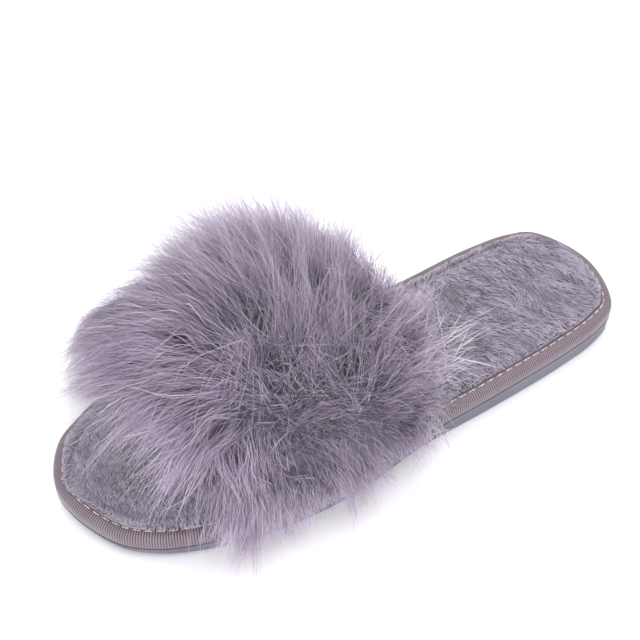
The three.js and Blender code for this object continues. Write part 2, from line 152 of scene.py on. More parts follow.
class Ripple:
    """A smooth random field in space, the same on every run."""

    def __init__(self, seed: int) -> None:
        """Fills the lattice that the field is read from."""
        self.size = 32
        self.lattice = np.random.default_rng(seed).uniform(-1, 1, (self.size,) * 3)

    def at(self, points: Array, grain: float | Array) -> Array:
        """Reads the field.

        Args:
            points: places in millimetres, the last axis being x, y and z.
            grain: the size of one ripple in millimetres, one number or one for each axis.

        Returns:
            Values from about -1 to 1.
        """
        scaled = points / np.asarray(grain)
        cell = np.floor(scaled).astype(int)
        part = scaled - cell
        part = part * part * (3 - 2 * part)
        total = np.zeros(points.shape[:-1])
        for corner in np.ndindex(2, 2, 2):
            weight = np.prod(np.where(corner, part, 1 - part), axis=-1)
            x, y, z = np.moveaxis((cell + corner) % self.size, -1, 0)
            total += weight * self.lattice[x, y, z]
        return total


# The slipper's sizes and surfaces

@dataclass(frozen=True)
class Last:
    """The slipper's own sizes in millimetres, as its solids have them, and the surfaces they give.

    Rows of the outline: share of the length from the heel, width that the row follows, and the
    lateral and medial distances from the centre line as shares of that width.
    """

    length: float = 258.0
    ball_width: float = 95.5
    waist_width: float = 73.2
    heel_width: float = 72.0
    toe_width: float = 70.0
    heel_height: float = 8.6
    waist_height: float = 7.6
    ball_height: float = 6.9
    toe_height: float = 2.0
    toe_spring: float = 3.2
    spring_start: float = 0.7
    spring_power: float = 1.8
    clearance: float = 0.3
    tape: float = 1.1
    binding_height: float = 6.8
    binding_leg: float = 5.3
    core: float = 4.2
    pile: float = 5.4
    pile_round: float = 11.0
    strap_wall: float = 2.5
    strap_length: float = 79.0
    heel_to_strap: float = 121.0
    medial_lead: float = 6.0
    instep_height: float = 52.0
    vamp_height: float = 43.0
    arch: Table = (
        (1, 0), (1, 0.2), (0.94, 0.45), (0.76, 0.71), (0.44, 0.9), (0.02, 1),
        (-0.38, 0.975), (-0.71, 0.83), (-0.92, 0.56), (-1, 0.25), (-1, 0),
    )

    @property
    def half(self) -> float:
        """Half the sole's length."""
        return self.length / 2

    @property
    def bed_edge(self) -> float:
        """Distance from the outline to the edge of what the tape frames."""
        return self.binding_leg + self.clearance

    def outline_points(self) -> Array:
        """The outline's control points, from the heel tip round by the lateral side."""
        heel, waist, ball, toe = self.heel_width, self.waist_width, self.ball_width, self.toe_width
        rows = (
            (0.036, heel, 0.393, 0.364),
            (0.081, heel, 0.475, 0.442),
            (0.172, heel, 0.528, 0.471),
            (0.326, waist, 0.556, 0.444),
            (0.461, waist, 0.574, 0.485),
            (0.612, ball, 0.497, 0.45),
            (0.733, ball, 0.485, 0.497),
            (0.841, ball, 0.422, 0.485),
            (0.919, toe, 0.447, 0.553),
            (0.965, toe, 0.279, 0.437),
        )
        heel_tip, toe_tip = (0.014 * heel, self.half), (-0.143 * toe, -self.half)
        lateral = [(share * width, self.half - along * self.length) for along, width, share, _ in rows]
        medial = [(-share * width, self.half - along * self.length) for along, width, _, share in rows]
        return np.array([heel_tip, *lateral, toe_tip, *medial[::-1]])

    def stations(self, at: Array) -> tuple[Array, Array]:
        """Points of the outline and the directions inwards from them, at places from 0 to 1."""
        points = self.outline_points()
        step = 1e-5
        tangent = unit(centripetal(points, at + step, True) - centripetal(points, at - step, True))
        return centripetal(points, at, True), np.stack([tangent[:, 1], -tangent[:, 0]], axis=1)

    def even_places(self, count: int) -> Array:
        """Places on the outline that lie evenly along its own length."""
        fine = np.linspace(0, 1, FINE_STEPS)
        steps = np.linalg.norm(np.diff(centripetal(self.outline_points(), fine, True), axis=0), axis=1)
        travelled = np.concatenate([[0], np.cumsum(steps)])
        return np.interp(np.arange(count) / count * travelled[-1], travelled, fine)

    def perimeter(self) -> float:
        """The outline's length."""
        points, _ = self.stations(np.linspace(0, 1, FINE_STEPS))
        return float(np.linalg.norm(np.diff(points, axis=0), axis=1).sum())

    def underside(self, y: Array) -> Array:
        """Height of the outsole's underside, which lifts from the ball to the toe."""
        along = np.clip((self.half - y) / self.length, 0, 1)
        beyond = np.maximum(0, along - self.spring_start) / (1 - self.spring_start)
        return self.toe_spring * beyond**self.spring_power

    def outsole_top(self, y: Array) -> Array:
        """Height of the outsole's top face."""
        rows = (
            (0, self.heel_height), (0.22, self.heel_height), (0.46, self.waist_height),
            (0.7, self.ball_height), (1, self.toe_height + self.toe_spring),
        )
        return read(rows, np.clip((self.half - y) / self.length, 0, 1))

    def layer(self, rise: float | Array) -> Height:
        """Height of a layer of the footbed, at a rise above its underside."""
        return lambda y: self.outsole_top(y) + self.clearance + rise

    def edge(self, side: Side, y: Array, inset: float) -> Array:
        """The x of one long edge, a distance inside the outline, at the given y."""
        at = np.linspace(0, 0.5, 400) if side is Side.LATERAL else np.linspace(0.5, 1, 400)
        points, inward = self.stations(at)
        inner = points + inset * inward
        order = np.argsort(inner[:, 1])
        return np.interp(y, inner[order, 1], inner[order, 0])

    def strap(self, around: Array, forward: Array) -> Array:
        """Points of the strap's inner face.

        Args:
            around: from 0 at the lateral foot over the top to 1 at the medial foot.
            forward: from 0 at the rear edge to 1 at the front edge.

        Returns:
            One point a row.
        """
        y = self.half - self.heel_to_strap - self.strap_length * forward - self.medial_lead * around
        inset = self.bed_edge + self.strap_wall + self.clearance / 2
        lateral, medial = self.edge(Side.LATERAL, y, inset), self.edge(Side.MEDIAL, y, inset)
        across, up = centripetal(np.array(self.arch, float), around, False).T
        height = self.instep_height + (self.vamp_height - self.instep_height) * forward
        x = (lateral + medial) / 2 + across * (lateral - medial) / 2
        z = self.layer(self.core + self.clearance)(y) + up * height
        return np.stack([x, y, z], axis=1)

    def strap_flat(self) -> tuple[float, float]:
        """Width and length, in metres, of the strap's cloth laid flat."""
        shares = np.linspace(0, 1, 80)
        middle = np.full_like(shares, 0.5)
        outward = 0.5 * self.strap_wall
        along = self.strap_offset(middle, shares, outward)
        over = self.strap_offset(shares, middle, outward)
        width, length = (np.linalg.norm(np.diff(line, axis=0), axis=1).sum() * MM for line in (along, over))
        return float(width), float(length)

    def strap_axes(self, around: Array, forward: Array) -> tuple[Array, Array, Array]:
        """Directions on the strap: out of it, round the arch to the medial side, and to the toe."""
        step = 4e-3
        low, high = np.clip(around - step, 0, 1), np.clip(around + step, 0, 1)
        round_arch = self.strap(high, forward) - self.strap(low, forward)
        ahead = unit(self.strap(around, forward + step) - self.strap(around, forward - step))
        normal = unit(np.cross(round_arch, ahead))
        return normal, unit(np.cross(ahead, normal)), ahead

    def strap_offset(self, around: Array, forward: Array, distance: float | Array) -> Array:
        """Points at a distance out from the strap's inner face."""
        normal, _, _ = self.strap_axes(around, forward)
        return self.strap(around, forward) + normal * np.asarray(distance).reshape(-1, 1)


# Materials

def linear(colour: str) -> Colour:
    """Turns an sRGB hex colour to linear red, green, blue and full alpha."""
    parts = [int(colour[i : i + 2], 16) / 255 for i in (1, 3, 5)]
    red, green, blue = (c / 12.92 if c <= 0.04045 else ((c + 0.055) / 1.055) ** 2.4 for c in parts)
    return red, green, blue, 1.0


def grey(value: float) -> Colour:
    """A neutral linear colour, for ramps that carry a number."""
    return value, value, value, 1.0


def per(size: float) -> float:
    """The scale of a pattern that repeats once in this many millimetres."""
    return 1 / (size * MM)


def noise_inputs(place: Socket, size: float, detail: float) -> dict:
    """The inputs of a noise with this many millimetres to a patch."""
    return {"Vector": place, "Scale": per(size), "Detail": detail}


def bump_inputs(height: Socket, strength: float, depth: float) -> dict:
    """The inputs of a bump of this depth in millimetres."""
    return {"Height": height, "Strength": strength, "Distance": depth * MM}


def fill(tree: Tree, node: Node, inputs: dict) -> None:
    """Fills a node's inputs: sockets are linked, hex colours turned to linear, and numbers set."""
    for name, value in inputs.items():
        if isinstance(value, Socket):
            tree.links.new(value, node.inputs[name])
        else:
            node.inputs[name].default_value = linear(value) if isinstance(value, str) else value


def add_node(
    tree: Tree, kind: str, inputs: dict | None = None, **settings: object
) -> "bpy.types.NodeOutputs":
    """Adds a node with its settings and links.

    Args:
        tree: the node tree.
        kind: the node's type, without the words that every shader node's starts with.
        inputs: what fills each input, by its name or number.
        settings: properties of the node; stops gives the (place, colour) pairs of a colour ramp.

    Returns:
        The new node's outputs.
    """
    node = tree.nodes.new(f"ShaderNode{kind}")
    stops = settings.pop("stops", None)
    for name, value in settings.items():
        setattr(node, name, value)
    if stops:
        elements = node.color_ramp.elements
        while len(elements) < len(stops):
            elements.new(0.5)
        for element, (place, colour) in zip(elements, stops, strict=True):
            element.position, element.color = place, linear(colour) if isinstance(colour, str) else colour
    fill(tree, node, inputs or {})
    return node.outputs


class Finish:
    """A real material, named for what it is and how its surface was made."""

    name: str

    def parts(self, tree: Tree, place: Socket) -> dict:
        """Adds the finish's nodes, which read Object coordinates, and says what fills the shader."""
        raise NotImplementedError

    def material(self) -> bpy.types.Material:
        """Builds the material."""
        material = bpy.data.materials.new(self.name)
        material.use_nodes = True
        tree = material.node_tree
        place = add_node(tree, "TexCoord")["Object"]
        fill(tree, tree.nodes["Principled BSDF"], self.parts(tree, place))
        return material


@dataclass(frozen=True)
class MouldedFoam(Finish):
    """Closed-cell EVA foam from a mould: matt, slightly rubbery, with a fine pebbled skin."""

    name: str = "EVA foam, moulded"
    body: str = "#5f5f6d"
    worn: str = "#72717e"
    worn_mm: float = 22.0
    pebble_mm: float = 0.5
    pebble_depth: float = 0.12
    roughness: float = 0.62
    rougher: float = 0.12

    def parts(self, tree: Tree, place: Socket) -> dict:
        """Broad worn patches in colour and gloss, and pebbles in the bump."""
        cloud = add_node(tree, "TexNoise", noise_inputs(place, self.worn_mm, 3.0))["Fac"]
        skin = add_node(tree, "TexNoise", noise_inputs(place, self.pebble_mm, 2.0))["Fac"]
        tints = [(0.35, self.body), (0.75, self.worn)]
        gloss = [(0.3, grey(self.roughness)), (0.8, grey(self.roughness + self.rougher))]
        bump = bump_inputs(skin, 0.35, self.pebble_depth)
        return {
            "Base Color": add_node(tree, "ValToRGB", {"Fac": cloud}, stops=tints)["Color"],
            "Roughness": add_node(tree, "ValToRGB", {"Fac": cloud}, stops=gloss)["Color"],
            "Normal": add_node(tree, "Bump", bump)["Normal"],
            "IOR": 1.48,
            "Sheen Weight": 0.15,
        }


@dataclass(frozen=True)
class Grosgrain(Finish):
    """Woven polyester tape with cross ribs: satin, with painted light on the ribs and painted shade in the
    grooves between them.

    U of the map runs once round the tape, V across it.
    """

    name: str = "Polyester tape, woven in cross ribs"
    rib: str = "#8b7b86"
    furrow_shade: str = "#3c3238"
    ribs: int = 569
    soil_mm: float = 9.0
    yarn_mm: float = 0.35
    yarn_depth: float = 0.08

    def parts(self, tree: Tree, place: Socket) -> dict:
        """Ribs from the map as painted light and shade, soiled in broad patches, with the yarn in the bump.
        """
        uv = add_node(tree, "UVMap", uv_map=TAPE_MAP)["UV"]
        round_tape = add_node(tree, "SeparateXYZ", {"Vector": uv})["X"]
        turns = add_node(tree, "Math", {0: round_tape, 1: math.tau * self.ribs}, operation="MULTIPLY")[0]
        wave = add_node(tree, "Math", {0: turns}, operation="COSINE")[0]
        height = add_node(tree, "MapRange", {"Value": wave, "From Min": -1.0, "From Max": 0.6})[0]
        soil = add_node(tree, "TexNoise", noise_inputs(place, self.soil_mm, 4.0))["Fac"]
        # painted light on the ribs and painted shade between them, by the ribs' height
        shaded = add_node(tree, "Mix", {"Factor": height, 6: self.furrow_shade, 7: self.rib}, data_type="RGBA")[2]
        fade = add_node(tree, "MapRange", {"Value": soil, "To Min": 0.82, "To Max": 1.12})[0]
        yarn = add_node(tree, "TexNoise", noise_inputs(place, self.yarn_mm, 1.0))["Fac"]
        bump = bump_inputs(yarn, 0.4, self.yarn_depth)
        return {
            "Base Color": add_node(tree, "VectorMath", {0: shaded, 3: fade}, operation="SCALE")[0],
            "Normal": add_node(tree, "Bump", bump)["Normal"],
            "Roughness": 0.62,
            "Sheen Weight": 0.35,
            "Sheen Roughness": 0.4,
        }


@dataclass(frozen=True)
class SpunThread(Finish):
    """Spun polyester sewing thread: cream, matt, with the twist showing as fine slanting bands."""

    name: str = "Polyester thread, spun and twisted"
    thread: str = "#d8cbb9"
    shadow: str = "#a5988a"
    twist_mm: float = 1.131
    twist_depth: float = 0.06

    def parts(self, tree: Tree, place: Socket) -> dict:
        """The twist, in colour and in the bump."""
        bands = {"Vector": place, "Scale": per(self.twist_mm) / WAVE_TURN, "Distortion": 1.5}
        twist = add_node(tree, "TexWave", bands, bands_direction="DIAGONAL")["Fac"]
        tints = [(0.2, self.shadow), (0.7, self.thread)]
        bump = bump_inputs(twist, 0.5, self.twist_depth)
        return {
            "Base Color": add_node(tree, "ValToRGB", {"Fac": twist}, stops=tints)["Color"],
            "Normal": add_node(tree, "Bump", bump)["Normal"],
            "Roughness": 0.75,
            "Sheen Weight": 0.3,
        }


@dataclass(frozen=True)
class KnitLining(Finish):
    """Brushed tricot lining: fine wales that run round the strap, matt with a soft sheen."""

    name: str = "Tricot, knitted and brushed"
    face: str = "#8e8795"
    groove: str = "#6d6674"
    wale_mm: float = 1.6965
    fuzz_mm: float = 1.6
    wale_depth: float = 0.15

    def parts(self, tree: Tree, place: Socket) -> dict:
        """The wales, blurred by fuzz, in the bump and in colour, with painted shade in the grooves between
        them.
        """
        bands = {"Vector": place, "Scale": per(self.wale_mm) / WAVE_TURN, "Distortion": 0.6}
        wales = add_node(tree, "TexWave", bands, bands_direction="Y")["Fac"]
        fuzz = add_node(tree, "TexNoise", noise_inputs(place, self.fuzz_mm, 5.0))["Fac"]
        blend = add_node(tree, "Mix", {"Factor": 0.45, 2: wales, 3: fuzz})[0]
        # painted shade in the grooves between the wales
        tints = [(0.25, self.groove), (0.7, self.face)]
        bump = bump_inputs(blend, 0.5, self.wale_depth)
        return {
            "Base Color": add_node(tree, "ValToRGB", {"Fac": blend}, stops=tints)["Color"],
            "Normal": add_node(tree, "Bump", bump)["Normal"],
            "Roughness": 0.85,
            "Sheen Weight": 0.4,
        }


@dataclass(frozen=True)
class Hair(Finish):
    """Dyed soft hair, dense at the skin: its own colour, darkened towards the roots by painted shade and
    paled to near white at the tips by painted light.

    U of the map is the hair's tone, its own with painted light and shade added, and V runs from its root to
    its tip.
    """

    name: str
    stops: tuple[tuple[float, str], ...]
    dark: float
    light: float
    patch_mm: float
    roughness: float = 0.6
    brightest: float = 0.92

    def parts(self, tree: Tree, place: Socket) -> dict:
        """The ramp along the hair, with painted shade at the root and painted light at the tip, lightened or
        darkened by the tone in the map and in broad patches.
        """
        own = add_node(tree, "SeparateXYZ", {"Vector": add_node(tree, "UVMap", uv_map=HAIR_MAP)["UV"]})
        # painted shade at the roots and painted light at the tips, over the hair's own colour
        along = add_node(tree, "ValToRGB", {"Fac": own["Y"]}, stops=self.stops)["Color"]
        patch = add_node(tree, "TexNoise", noise_inputs(place, self.patch_mm, 3.0))["Fac"]
        mixed = add_node(tree, "Mix", {"Factor": 0.35, 2: own["X"], 3: patch})[0]
        spread = {"Value": mixed, "From Min": 0.1, "From Max": 0.9, "To Min": self.dark, "To Max": self.light}
        tone = add_node(tree, "MapRange", spread)[0]
        toned = add_node(tree, "VectorMath", {0: along, 3: tone}, operation="SCALE")[0]
        cap = {0: toned, 1: (self.brightest,) * 3}
        return {
            "Base Color": add_node(tree, "VectorMath", cap, operation="MINIMUM")[0],
            "Roughness": self.roughness,
            "Sheen Weight": 0.3,
            "IOR": 1.55,
            "Specular IOR Level": 0.35,
        }


@dataclass(frozen=True)
class BrushedPile(Finish):
    """The ground of a brushed plush: short fibres laid in tufts, with painted shade between them."""

    name: str = "Polyester plush, knitted and brushed"
    tuft: str = "#a099a8"
    between: str = "#6b6372"
    tuft_mm: float = 2.2
    broad_mm: float = 14.0
    tuft_depth: float = 0.6

    def parts(self, tree: Tree, place: Socket) -> dict:
        """Tufts in the bump and in colour, with painted shade between them, and broad patches in colour."""
        fine = noise_inputs(place, self.tuft_mm, 6.0)
        tufts = add_node(tree, "TexNoise", fine | {"Roughness": 0.65})["Fac"]
        broad = add_node(tree, "TexNoise", noise_inputs(place, self.broad_mm, 2.0))["Fac"]
        blend = add_node(tree, "Mix", {"Factor": 0.3, 2: tufts, 3: broad})[0]
        # painted shade between the tufts, where the bump is low
        tints = [(0.32, self.between), (0.62, self.tuft)]
        bump = bump_inputs(tufts, 0.9, self.tuft_depth)
        return {
            "Base Color": add_node(tree, "ValToRGB", {"Fac": blend}, stops=tints)["Color"],
            "Normal": add_node(tree, "Bump", bump)["Normal"],
            "Roughness": 0.95,
            "Sheen Weight": 0.5,
            "Sheen Roughness": 0.5,
        }


@dataclass(frozen=True)
class PaleSweep(Finish):
    """A seamless white paper sweep: matt and nearly white."""

    name: str = "Paper, white and matt"
    paper: str = "#fbfafc"
    lightest: str = "#ffffff"
    patch_mm: float = 25.0

    def parts(self, tree: Tree, place: Socket) -> dict:
        """Faint patches of two whites."""
        fibre = add_node(tree, "TexNoise", noise_inputs(place, self.patch_mm, 2.0))["Fac"]
        tints = [(0.0, self.paper), (1.0, self.lightest)]
        return {
            "Base Color": add_node(tree, "ValToRGB", {"Fac": fibre}, stops=tints)["Color"],
            "Roughness": 0.9,
            "Specular IOR Level": 0.1,
        }


# Meshes

def finish_mesh(name: str, mesh: Mesh, material: bpy.types.Material) -> Object:
    """Puts a mesh in the scene as a piece of the slipper.

    Args:
        name: the piece's name.
        mesh: its mesh, in metres.
        material: its finish.

    Returns:
        The piece, riding on the slipper's one body.
    """
    mesh.materials.clear()
    mesh.materials.append(material)
    piece = bpy.data.objects.new(name, mesh)
    bpy.context.scene.collection.objects.link(piece)
    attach(piece, BODY)
    return piece


def skin(
    name: str,
    columns: int,
    rows: int,
    place: Callable[[Array, Array], Array],
    round_columns: bool = False,
    round_rows: bool = False,
    uv_name: str | None = None,
) -> Mesh:
    """Bends a flat grid into a surface.

    Args:
        name: the mesh's name.
        columns: cells along u.
        rows: cells along v.
        place: gives one point in millimetres a row, for arrays of u and v from 0 to 1.
        round_columns: whether the surface closes on itself along u.
        round_rows: whether it closes on itself along v.
        uv_name: the name of a map that keeps u and v, if the finish follows the surface.

    Returns:
        A smooth-shaded mesh in metres with its seams closed and its faces turned outwards.
    """
    form = bmesh.new()
    bmesh.ops.create_grid(form, x_segments=columns, y_segments=rows, size=1)
    form.verts.ensure_lookup_table()
    grid = np.array([vert.co[:2] for vert in form.verts]) / 2 + 0.5
    u, v = np.round(grid[:, 0] * columns) / columns, np.round(grid[:, 1] * rows) / rows
    if uv_name:
        layer = form.loops.layers.uv.new(uv_name)
        for face in form.faces:
            for loop in face.loops:
                loop[layer].uv = (u[loop.vert.index], v[loop.vert.index])
    points = place(u % 1 if round_columns else u, v % 1 if round_rows else v) * MM
    for vert, point in zip(form.verts, points, strict=True):
        vert.co = point
    bmesh.ops.remove_doubles(form, verts=form.verts, dist=1e-7)
    bmesh.ops.recalc_face_normals(form, faces=form.faces)
    mesh = bpy.data.meshes.new(name)
    form.to_mesh(mesh)
    form.free()
    mesh.polygons.foreach_set("use_smooth", np.ones(len(mesh.polygons), bool))
    return mesh


class Template:
    """A small shape made once and then laid out in a joined mesh as many times as needed."""

    def __init__(self, form: bmesh.types.BMesh) -> None:
        """Reads the shape's points and faces and frees it."""
        form.verts.index_update()
        self.points = np.array([vert.co[:] for vert in form.verts])
        self.faces = [[vert.index for vert in face.verts] for face in form.faces]
        form.free()

    def lay(self, name: str, copies: Array, uvs: Array | None = None) -> Mesh:
        """Joins copies of the shape in one mesh.

        Args:
            name: the mesh's name.
            copies: the points of each copy in millimetres, as copy, point and axis.
            uvs: the hair map's value at each copy's points, as copy, point and axis.

        Returns:
            The joined mesh in metres.
        """
        count, size = copies.shape[:2]
        flat = np.concatenate([np.array(face) for face in self.faces])
        lengths = np.array([len(face) for face in self.faces])
        corners = (flat[None] + size * np.arange(count)[:, None]).ravel()
        starts = np.concatenate([[0], np.cumsum(np.tile(lengths, count))[:-1]])
        mesh = bpy.data.meshes.new(name)
        mesh.vertices.add(count * size)
        mesh.loops.add(len(corners))
        mesh.polygons.add(len(starts))
        mesh.vertices.foreach_set("co", (copies * MM).astype(np.float32).ravel())
        mesh.loops.foreach_set("vertex_index", corners.astype(np.int32))
        mesh.polygons.foreach_set("loop_start", starts.astype(np.int32))
        mesh.polygons.foreach_set("use_smooth", np.ones(len(starts), bool))
        mesh.update(calc_edges=True)
        if uvs is not None:
            layer = mesh.uv_layers.new(name=HAIR_MAP)
            layer.data.foreach_set("uv", uvs.reshape(-1, 2)[corners].astype(np.float32).ravel())
        mesh.validate()
        return mesh


def hair_template(segments: int) -> Template:
    """A three-sided tapering blade: x and y hold the corner's direction, z the ring from 0 at the root."""
    form = bmesh.new()
    ring = bmesh.ops.create_circle(form, segments=3, radius=1, cap_ends=False)["verts"]
    edges = list({edge for vert in ring for edge in vert.link_edges})
    for _ in range(segments):
        grown = bmesh.ops.extrude_edge_only(form, edges=edges)["geom"]
        edges = [part for part in grown if isinstance(part, bmesh.types.BMEdge)]
        ring = [part for part in grown if isinstance(part, bmesh.types.BMVert)]
        bmesh.ops.translate(form, verts=ring, vec=(0, 0, 1))
    bmesh.ops.pointmerge(form, verts=ring, merge_co=(0, 0, segments))
    bmesh.ops.recalc_face_normals(form, faces=form.faces)
    return Template(form)


def lay_hairs(name: str, spines: Array, widths: Array, tones: Array, rng: np.random.Generator) -> Mesh:
    """Builds a joined mesh of hairs.

    Args:
        name: the mesh's name.
        spines: the points of each hair's centre line in millimetres, as hair, point and axis.
        widths: each hair's width at its root.
        tones: each hair's tone from 0 to 1, its own with painted light and shade added.
        rng: turns each blade about its own line.

    Returns:
        The mesh, with the map that the hair finish reads.
    """
    segments = spines.shape[1] - 1
    template = hair_template(segments)
    ring = np.round(template.points[:, 2]).astype(int)
    along = np.arange(segments + 1) / segments
    swell = 0.75 + 0.25 * along / THICKEST
    fade = 1 - 0.85 * (np.clip(along - THICKEST, 0, None) / (1 - THICKEST)) ** 1.3
    taper = np.where(along < THICKEST, swell, fade)
    tangent = unit(np.gradient(spines, axis=1))
    turn = rng.normal(size=(len(spines), 1, 3))
    wide = unit(np.cross(tangent, turn))
    thin = np.cross(tangent, wide)
    reach = (widths[:, None] * taper[None] / 2)[:, ring, None]
    x, y = template.points[None, :, 0, None], template.points[None, :, 1, None]
    copies = spines[:, ring] + reach * (x * wide[:, ring] + y * thin[:, ring])
    uvs = np.stack([np.repeat(tones[:, None], len(ring), 1), np.tile(along[ring], (len(spines), 1))], axis=-1)
    return template.lay(name, copies, uvs)


# The pieces

@dataclass
class Outsole:
    """The moulded foam outsole with its lip, its tread grooves and the recess under the waist."""

    last: Last
    inset: float = 0.2
    draft: float = 0.3
    bevel: float = 0.9
    lip: float = 0.2
    groove_width: float = 2.0
    groove_depth: float = 1.2
    groove_pitch: float = 7.5
    groove_rim: float = 9.0
    recess_depth: float = 0.8
    heel_tread: tuple[float, float] = (0.07, 0.3)
    forefoot_tread: tuple[float, float] = (0.63, 0.92)
    recess: tuple[float, float] = (0.33, 0.47)

    def section(self) -> list[tuple[float, float, float]]:
        """Rows from the underside's middle to the top's: reach to the edge, inset, share of the height."""
        side = self.inset + self.draft
        return [
            (0, side + self.bevel, 0), (0.5, side + self.bevel, 0), (1, side + self.bevel, 0),
            (1, side + 0.35 * self.bevel, 0.05), (1, side, 0.16), (1, side - 0.05, 0.3),
            (1, self.inset + 0.12, 0.74), (1, self.inset, 0.85), (1, self.inset - self.lip, 0.9),
            (1, self.inset - self.lip, 0.97), (1, self.inset + 0.2, 1), (0.5, self.inset + 1, 1),
            (0, self.inset + 1, 1),
        ]

    def place(self, u: Array, v: Array) -> Array:
        """Points of the outsole's skin."""
        rows = np.array(self.section())
        i = np.round(v * (len(rows) - 1)).astype(int)
        reach, inset, share = rows[i].T
        return sole_point(self.last, u, reach, inset, lambda y: self.height(y, share))

    def height(self, y: Array, share: Array) -> Array:
        """Height at a share of the way from the underside to the top face."""
        low, high = self.last.underside(y), self.last.outsole_top(y)
        return low + share * (high - low)

    def cutter(self) -> Object:
        """The bars that cut the grooves and the waist recess, joined in one hidden helper."""
        form = bmesh.new()
        last = self.last
        middle = last.half - sum(self.recess) / 2 * last.length
        bars = [(middle, (self.recess[1] - self.recess[0]) * last.length, self.recess_depth)]
        for start, end in (self.heel_tread, self.forefoot_tread):
            count = int((end - start) * last.length / self.groove_pitch) + 1
            places = last.half - start * last.length - np.arange(count) * self.groove_pitch
            bars += [(y, self.groove_width, self.groove_depth) for y in places.tolist()]
        for y, length, depth in bars:
            ends = [float(last.edge(side, np.array([y]), self.groove_rim)[0]) for side in Side]
            top = float(last.underside(np.array([y]))[0]) + depth
            size = (abs(ends[0] - ends[1]), length, 2 * top)
            cube = bmesh.ops.create_cube(form, size=1)["verts"]
            bmesh.ops.scale(form, verts=cube, vec=Vector(size) * MM)
            bmesh.ops.translate(form, verts=cube, vec=Vector((sum(ends) / 2, y, 0)) * MM)
        mesh = bpy.data.meshes.new("tread_cutter")
        form.to_mesh(mesh)
        form.free()
        helper = bpy.data.objects.new("tread_cutter", mesh)
        bpy.context.scene.collection.objects.link(helper)
        return helper

    def build(self) -> Object:
        """Builds and dresses the outsole."""
        mesh = skin("outsole_foam", 264, len(self.section()) - 1, self.place, round_columns=True)
        piece = finish_mesh("outsole_foam", mesh, MouldedFoam().material())
        helper = self.cutter()
        cut = piece.modifiers.new("tread", "BOOLEAN")
        cut.object, cut.operation, cut.solver = helper, "DIFFERENCE", "EXACT"
        graph = bpy.context.evaluated_depsgraph_get()
        done = bpy.data.meshes.new_from_object(piece.evaluated_get(graph))
        piece.modifiers.clear()
        bpy.data.objects.remove(helper)
        done.name = "outsole_foam_cut"
        piece.data = done
        piece.data.polygons.foreach_set("use_smooth", np.ones(len(done.polygons), bool))
        done.set_sharp_from_angle(angle=math.radians(50))
        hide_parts("outsole")
        return piece


def sole_point(last: Last, u: Array, reach: Array, inset: Array, height: Height) -> Array:
    """Points on a level of the sole.

    Args:
        last: the slipper's sizes.
        u: places on the outline, from 0 to 1.
        reach: 1 at the edge, 0 on the line half way between the two sides.
        inset: distance of the edge inside the outline.
        height: gives z for y.

    Returns:
        One point a row.
    """
    here, inward = last.stations(u)
    there, inward_there = last.stations(1 - u)
    inset, reach = inset[:, None], reach[:, None]
    edge, far = here + inset * inward, there + inset * inward_there
    flat = (edge + far) / 2 + reach * (edge - far) / 2
    return np.concatenate([flat, height(flat[:, 1])[:, None]], axis=1)


